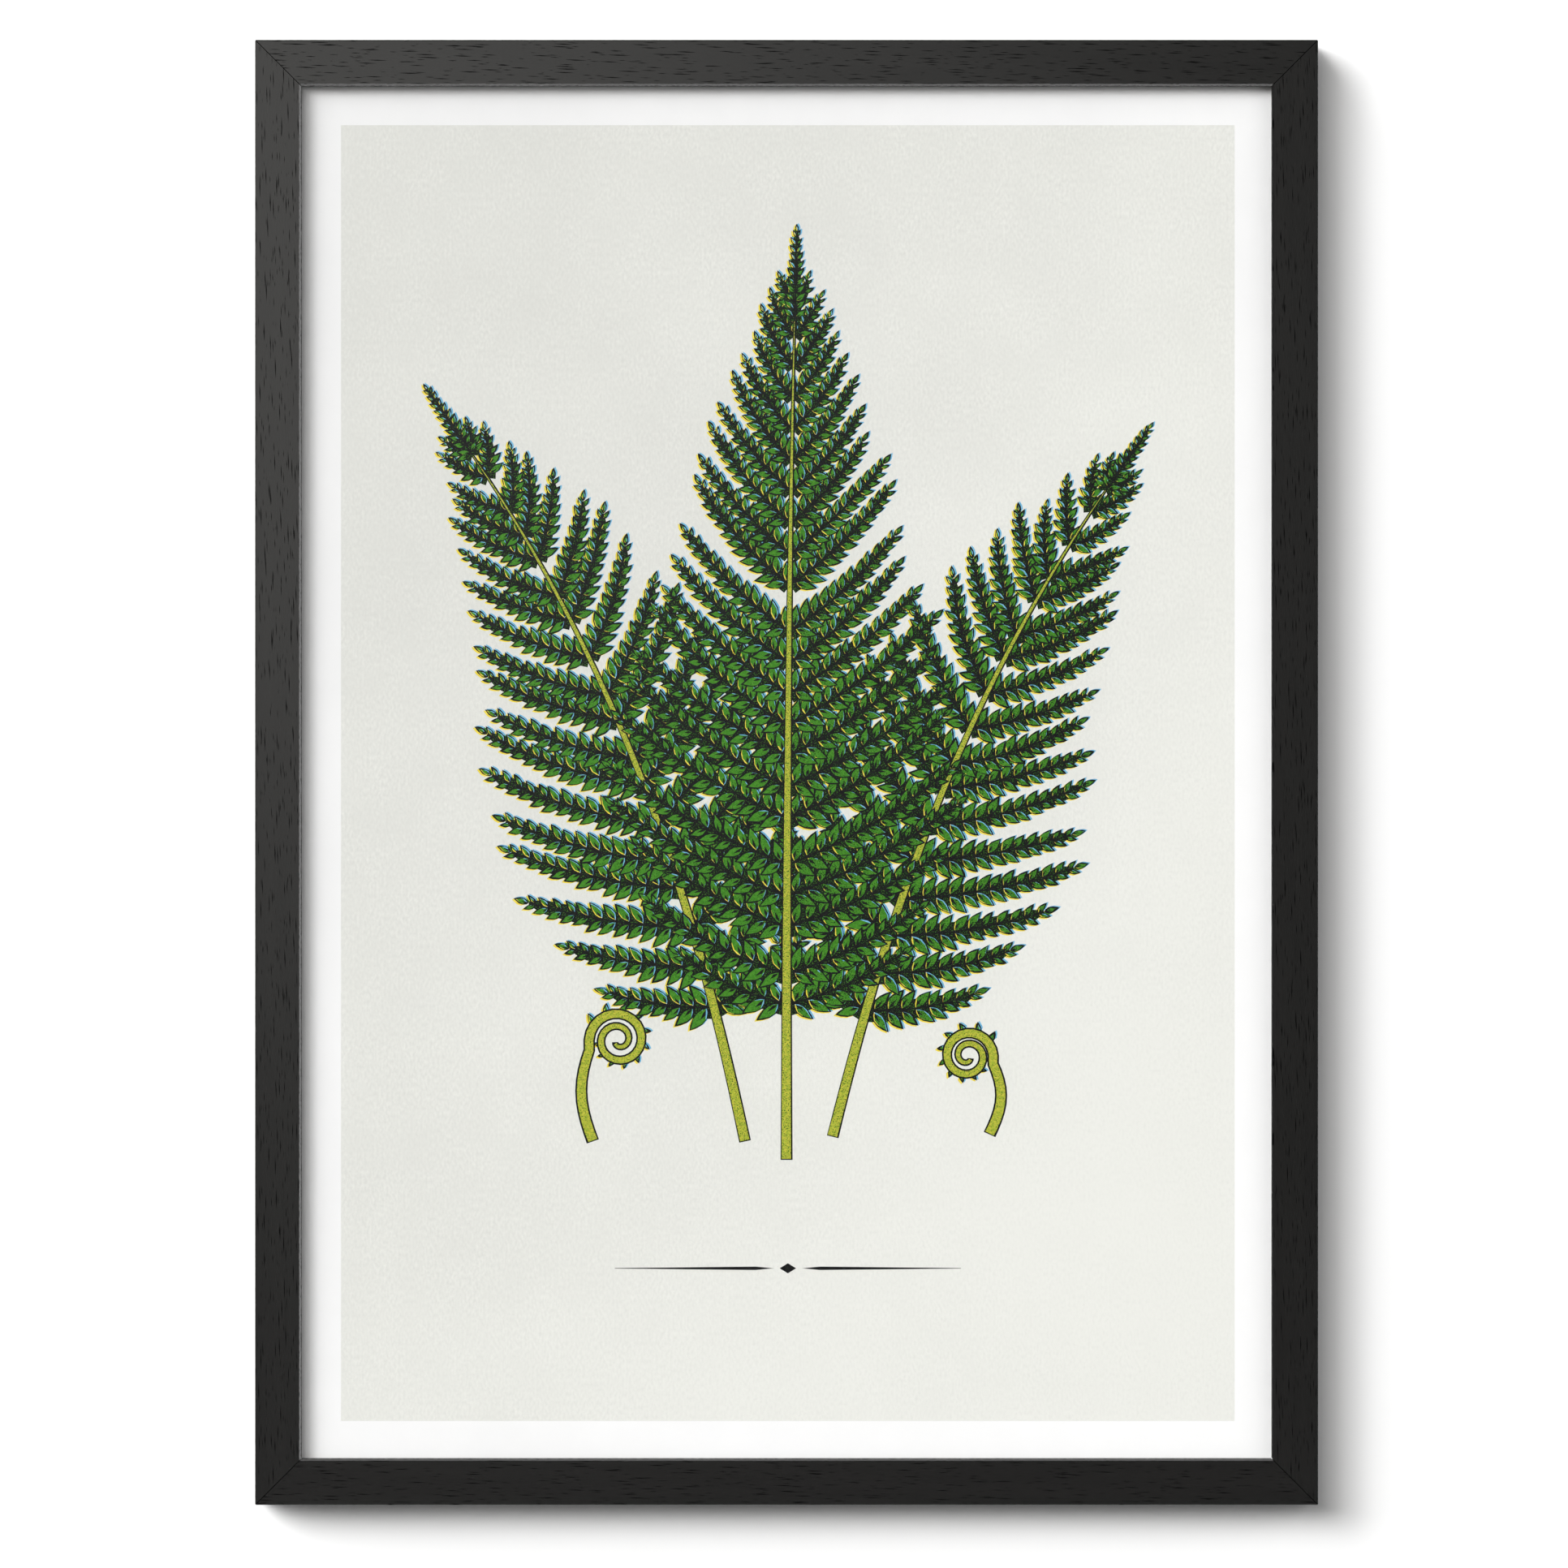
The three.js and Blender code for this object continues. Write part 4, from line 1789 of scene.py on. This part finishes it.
@dataclass
class Hardware:
    """The saw-tooth hanger, its two nails, and the steel wedges across the rear of the mitres."""

    teeth: int = 7
    pitch: float = 2.8 * MM
    tooth_depth: float = 2.0 * MM
    tooth_top: float = 0.04  # the width at the top of a gap as a share of that at its foot
    foot: float = 9 * MM  # the length of each end that lies on the rail
    ramp: float = 2.5 * MM
    thickness: float = 0.8 * MM
    edge: float = 0.12 * MM
    hole_inset: float = 4.5 * MM
    hole_radius: float = 1.05 * MM
    hole_sides: int = 24
    head_sides: int = 28
    head_depth: float = 0.6 * MM
    head_slope: float = 0.42  # the share of the head's radius that slopes
    head_fall: float = 0.6  # how far the slope falls, as a share of the head's depth
    shank_radius: float = 0.75 * MM
    nail_point: float = 1.5 * MM
    nail_edge: float = 0.1 * MM
    nail_short: float = 0.1 * MM  # how far the point ends before its node does
    wedge_inset: float = 7.5 * MM  # of the wedge's middle from the frame's outer edges
    wedge_length: float = 11 * MM
    wedge_thickness: float = 0.35 * MM
    wedge_depth: float = 3 * MM
    wedge_proud: float = 0.05 * MM
    wave: float = 0.9 * MM
    waves: int = 2
    wedge_steps: int = 16

    def build(self) -> None:
        """Makes the plate, the nails and the wedges."""
        zinc = PlatedSteel("zinc_plate", (0.56, 0.55, 0.5), (0.33, 0.31, 0.27), 0.3).material()
        steel = PlatedSteel("nail_steel", (0.36, 0.36, 0.37), (0.2, 0.19, 0.18), 0.35).material()
        self._plate(zinc)
        for end in ("left", "right"):
            self._nail(end, steel)
        for corner in Corner:
            self._wedge(corner, steel)

    def _plate(self, zinc: bpy.types.Material) -> None:
        """Models the plate: a strip with its middle raised and its lower edge toothed.

        Args:
            zinc: its material.
        """
        low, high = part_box("hanger_plate")
        seat_rear = low.y + self.thickness
        piece = add_block("hanger_strip", low, (high.x, seat_rear, high.z))
        middle = (low.x + high.x) / 2
        half = (high.x - low.x) / 2
        rise = high.y - seat_rear
        for place in (half - self.foot, half - self.foot - self.ramp):
            for way in (-1, 1):
                choose_all(piece)
                spot = (middle + way * place, 0, 0)
                bpy.ops.mesh.bisect(plane_co=spot, plane_no=(1, 0, 0))
                close_edit()
        choose(piece, "VERT", lambda c: abs(c.x - middle) < half - self.foot - self.ramp / 2)
        bpy.ops.transform.translate(value=(0, rise, 0))
        close_edit()
        for n in range(self.teeth):
            x = middle + (n - (self.teeth - 1) / 2) * self.pitch
            carve(piece, self._notch(x, low))
        through = 10 * MM
        for way in (-1, 1):
            spot = (middle + way * (half - self.hole_inset), low.y, 0)
            carve(piece, add_disc("nail_hole", spot, self.hole_radius, through, self.hole_sides))
        apply_modifier(piece, "BEVEL", width=self.edge, segments=2, angle_limit=math.radians(25))
        smooth(piece)
        dress(piece, zinc, "zinc", "hanger_plate")

    def _notch(self, x: float, low: Vector) -> bpy.types.Object:
        """Makes the cutter for one gap between teeth: a prism with its ridge up.

        Args:
            x: the gap's middle.
            low: the plate's lowest corner.

        Returns:
            The cutter.
        """
        half = self.pitch * 0.5
        deep = 5 * MM
        top = low.z + self.tooth_depth
        start = (x - half, low.y - deep, low.z - half)
        notch = add_block("notch", start, (x + half, low.y + deep, top))
        choose(notch, "VERT", lambda c: c.z > top - self.tooth_depth / 2)
        bpy.ops.transform.resize(value=(self.tooth_top, 1, 1), center_override=(x, 0, 0))
        close_edit()
        return notch

    def _nail(self, end: str, steel: bpy.types.Material) -> None:
        """Models a nail with a low domed head, its shank in the top rail.

        Args:
            end: left or right.
            steel: its material.
        """
        node = f"hanger_nail_{end}"
        low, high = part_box(node)
        middle = (low + high) / 2
        radius = (high.x - low.x) / 2
        depth = self.head_depth
        spot = (middle.x, high.y - depth / 2, middle.z)
        piece = add_disc(f"plate_nail_{end}", spot, radius, depth, self.head_sides)

        def on_top(corner: Vector) -> bool:
            """Says whether a corner lies on the head's rear face."""
            return corner.y > high.y - depth / 4

        def on_rim(corner: Vector) -> bool:
            """Says whether a corner lies on that face's rim."""
            aside = math.hypot(corner.x - middle.x, corner.z - middle.z)
            return on_top(corner) and aside > radius * 0.7

        choose(piece, "FACE", on_top)
        bpy.ops.mesh.inset(thickness=radius * self.head_slope, depth=0)
        close_edit()
        choose(piece, "VERT", on_rim)
        bpy.ops.transform.translate(value=(0, -depth * self.head_fall, 0))
        close_edit()
        choose(piece, "FACE", lambda c: c.y < high.y - depth * 0.9)
        bpy.ops.mesh.inset(thickness=radius - self.shank_radius, depth=0)
        shank = (high.y - depth) - (low.y + self.nail_short + self.nail_point)
        for length in (shank, self.nail_point):
            bpy.ops.mesh.extrude_region_move(TRANSFORM_OT_translate={"value": (0, -length, 0)})
        bpy.ops.transform.resize(value=(0.1, 1, 0.1), center_override=middle)
        close_edit()
        apply_modifier(piece, "BEVEL", width=self.nail_edge, segments=2, angle_limit=math.radians(30))
        smooth(piece)
        dress(piece, steel, "steel", node)

    def _wedge(self, corner: Corner, steel: bpy.types.Material) -> None:
        """Models the thin wavy wedge driven flush across the rear of one mitre.

        Args:
            corner: the mitre's corner.
            steel: its material.
        """
        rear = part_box("rail_top")[1].y
        x, z = corner.spot(self.wedge_inset)
        right, up = corner.value
        turn = math.radians(-45 * right * up)
        length = self.wedge_length
        start = (-length / 2, rear - self.wedge_depth, -self.wedge_thickness / 2)
        end = (length / 2, rear + self.wedge_proud, self.wedge_thickness / 2)
        piece = add_block(f"mitre_wedge_{corner.label}", start, end)
        for n in range(1, self.wedge_steps):
            choose_all(piece)
            spot = (length * (n / self.wedge_steps - 0.5), 0, 0)
            bpy.ops.mesh.bisect(plane_co=spot, plane_no=(1, 0, 0))
            close_edit()
        for vertex in piece.data.vertices:
            run = vertex.co.x
            off = vertex.co.z + self.wave * math.sin(run / length * math.tau * self.waves)
            vertex.co.x = x + run * math.cos(turn) - off * math.sin(turn)
            vertex.co.z = z + run * math.sin(turn) + off * math.cos(turn)
        smooth(piece, 60)
        dress(piece, steel, "steel")


@dataclass
class Bumpers:
    """Rubber bumpers on the rear of the bottom rail."""

    round_over: float = 0.5 * MM
    taper: float = 0.9  # the rear's radius as a share of the front's
    sides: int = 40

    def build(self) -> None:
        """Models both bumpers."""
        rubber = MatteBlack().material()
        for end in ("left", "right"):
            node = f"bumper_{end}"
            low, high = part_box(node)
            middle = (low + high) / 2
            radius = (high.x - low.x) / 2
            piece = add_disc(f"rubber_bumper_{end}", middle, radius, high.y - low.y, self.sides)
            near = 0.05 * MM
            choose(piece, "VERT", lambda c: c.y > high.y - near)
            bpy.ops.transform.resize(value=(self.taper, 1, self.taper), center_override=middle)
            close_edit()
            choose(piece, "EDGE", lambda c: c.y > high.y - near)
            bpy.ops.mesh.bevel(offset=self.round_over, segments=4, affect="EDGES")
            close_edit()
            smooth(piece)
            dress(piece, rubber, "rubber", node)


# The studio


@dataclass(frozen=True)
class Distant:
    """A broad light from far off, with its angles in degrees."""

    name: str
    aside: float  # to the left
    above: float
    breadth: float
    strength: float

    def hang(self) -> None:
        """Puts the light in the scene."""
        data = bpy.data.lights.new(self.name, "SUN")
        data.energy = self.strength
        data.angle = math.radians(self.breadth)
        lamp = bpy.data.objects.new(self.name, data)
        aside, above = math.radians(self.aside), math.radians(self.above)
        heading = Vector((math.sin(aside), math.cos(aside), -math.tan(above)))
        lamp.rotation_euler = heading.to_track_quat("-Z", "Y").to_euler()
        bpy.context.scene.collection.objects.link(lamp)


@dataclass(frozen=True)
class Panel:
    """A soft rectangular light that points at the frame's middle, and which no camera sees."""

    name: str
    place: tuple[float, float, float]  # its middle, from the frame's
    size: Point
    power: float  # in watts
    colour: Colour = (1.0, 1.0, 1.0)

    def hang(self, middle: Vector) -> bpy.types.Object:
        """Puts the light in the scene.

        Args:
            middle: the frame's middle.

        Returns:
            The light.
        """
        data = bpy.data.lights.new(self.name, "AREA")
        data.shape = "RECTANGLE"
        data.size, data.size_y = self.size
        data.energy = self.power
        data.color = self.colour
        lamp = bpy.data.objects.new(self.name, data)
        lamp.location = middle + Vector(self.place)
        lamp.rotation_euler = (-Vector(self.place)).to_track_quat("-Z", "Y").to_euler()
        lamp.visible_camera = False
        bpy.context.scene.collection.objects.link(lamp)
        return lamp


@dataclass
class Studio:
    """The wall, the floor, the lights and the camera."""

    lens: float = 200.0
    sensor: float = 36.0
    frame_pixel: Point = (969.2, 951.7)  # the middle of the frame in the photograph
    floor_drop: float = 1.55  # below the frame's middle
    floor_size: float = 30.0
    wall_size: float = 12.0
    floor_colour: Colour = (0.62, 0.62, 0.61)
    wall_gap: float = 0.3 * MM  # between the wall and the frame's rear
    wall_colour: Colour = (0.98, 0.98, 0.98)
    distant: tuple[Distant, ...] = (
        Distant("key", 17, 19, 24, 0.48),
        Distant("key_aside", 34, 19, 28, 1.54),
        Distant("wide", 62, 30, 50, 2.9),
        Distant("fill", -45, 8, 60, 0.8),
    )
    sheen: Panel = Panel("sheen", (-0.75, -4.8, 0.8), (1.7, 1.8), 33, (1.0, 0.985, 0.95))
    behind: tuple[Panel, ...] = (
        Panel("back_left", (-2.6, 3.2, 1.6), (2.4, 2.4), 185),
        Panel("back_right", (2.8, 2.6, 1.0), (2.0, 2.0), 75),
    )
    surround: float = 0.03
    seen_surround: Colour = (0.93, 0.93, 0.93)  # what the camera sees beyond the wall

    @property
    def middle(self) -> Vector:
        """The frame's middle."""
        return (CAD_BOX[0] + CAD_BOX[1]) / 2

    def build(self) -> None:
        """Sets up the whole studio."""
        self._camera()
        self._wall()
        self._lights(self._floor())
        self._world()

    def _camera(self) -> None:
        """Adds a camera straight in front, framed as the photograph is."""
        data = bpy.data.cameras.new("camera")
        data.lens = self.lens
        data.sensor_width = self.sensor
        data.clip_end = 50
        camera = bpy.data.objects.new("camera", data)
        half = PHOTO_PIXELS / 2
        right = (self.frame_pixel[0] - half) * PHOTO_SCALE
        down = (self.frame_pixel[1] - half) * PHOTO_SCALE
        away = PHOTO_PIXELS * PHOTO_SCALE * self.lens / self.sensor
        camera.location = (self.middle.x - right, CAD_BOX[0].y - away, self.middle.z + down)
        camera.rotation_euler = (math.pi / 2, 0, 0)
        bpy.context.scene.collection.objects.link(camera)
        bpy.context.scene.camera = camera

    def _plane(self, name: str, size: float, place: Sequence[float], turn: float) -> bpy.types.Object:
        """Adds a large flat backdrop.

        Args:
            name: its name.
            size: its length and width.
            place: its middle.
            turn: its angle about X, in radians.

        Returns:
            The backdrop.
        """
        deselect()
        bpy.ops.mesh.primitive_plane_add(size=size, location=place, rotation=(turn, 0, 0))
        plane = name_piece(name)
        return plane

    def _wall(self) -> None:
        """Adds a white wall, seen from the front only so that the back can be looked at too."""
        place = (0, self.wall_gap, self.middle.z)
        wall = self._plane("wall", self.wall_size, place, math.pi / 2)
        shader = Shader("white_wall")
        shader.set(Base_Color=self.wall_colour, Roughness=0.9, Specular_IOR_Level=0.0)
        behind = shader.node("ShaderNodeNewGeometry").outputs["Backfacing"]
        shader.show(behind, shader.surface, shader.node("ShaderNodeBsdfTransparent"))
        wall.data.materials.append(shader.material)
        wall.visible_shadow = False

    def _floor(self) -> bpy.types.Object:
        """Adds a pale floor that throws no light up on the wall.

        Returns:
            The floor.
        """
        floor = self._plane("floor", self.floor_size, (0, 0, self.middle.z - self.floor_drop), 0)
        shader = Shader("pale_floor")
        shader.set(Base_Color=self.floor_colour, Roughness=0.8)
        floor.data.materials.append(shader.material)
        floor.visible_diffuse = False
        return floor

    def _lights(self, floor: bpy.types.Object) -> None:
        """Hangs the distant lights, the panel for the timber's sheen and those for the back.

        Args:
            floor: the floor. The panels for the back leave it out, as it would throw their light
                up on the wall.
        """
        for light in self.distant:
            light.hang()
        self.sheen.hang(self.middle)
        unlit = bpy.data.collections.new("unlit_from_behind")
        unlit.objects.link(floor)
        unlit.collection_objects[0].light_linking.link_state = "EXCLUDE"
        for panel in self.behind:
            panel.hang(self.middle).light_linking.receiver_collection = unlit

    def _world(self) -> None:
        """Adds a pale surround that lights the scene softly and looks white to the camera."""
        world = bpy.data.worlds.new("surround")
        world.use_nodes = True
        bpy.context.scene.world = world
        nodes, links = world.node_tree.nodes, world.node_tree.links
        nodes.clear()
        soft = nodes.new("ShaderNodeBackground")
        soft.inputs["Color"].default_value = (1, 1, 1, 1)
        soft.inputs["Strength"].default_value = self.surround
        seen = nodes.new("ShaderNodeBackground")
        seen.inputs["Color"].default_value = (*self.seen_surround, 1)
        path = nodes.new("ShaderNodeLightPath")
        both = nodes.new("ShaderNodeMixShader")
        output = nodes.new("ShaderNodeOutputWorld")
        links.new(path.outputs["Is Camera Ray"], both.inputs[0])
        links.new(soft.outputs[0], both.inputs[1])
        links.new(seen.outputs[0], both.inputs[2])
        links.new(both.outputs[0], output.inputs[0])
        bpy.context.scene.view_settings.view_transform = "Standard"


def main() -> None:
    """Builds the studio and each part of the framed print in order."""
    logging.basicConfig(level=logging.INFO, format="%(message)s")
    parts = (Studio(), Moulding(), Layers(), PrintedSheet(), SteelPoints(), Hardware(), Bumpers())
    for part in parts:
        part.build()


if __name__ == "__main__":
    main()
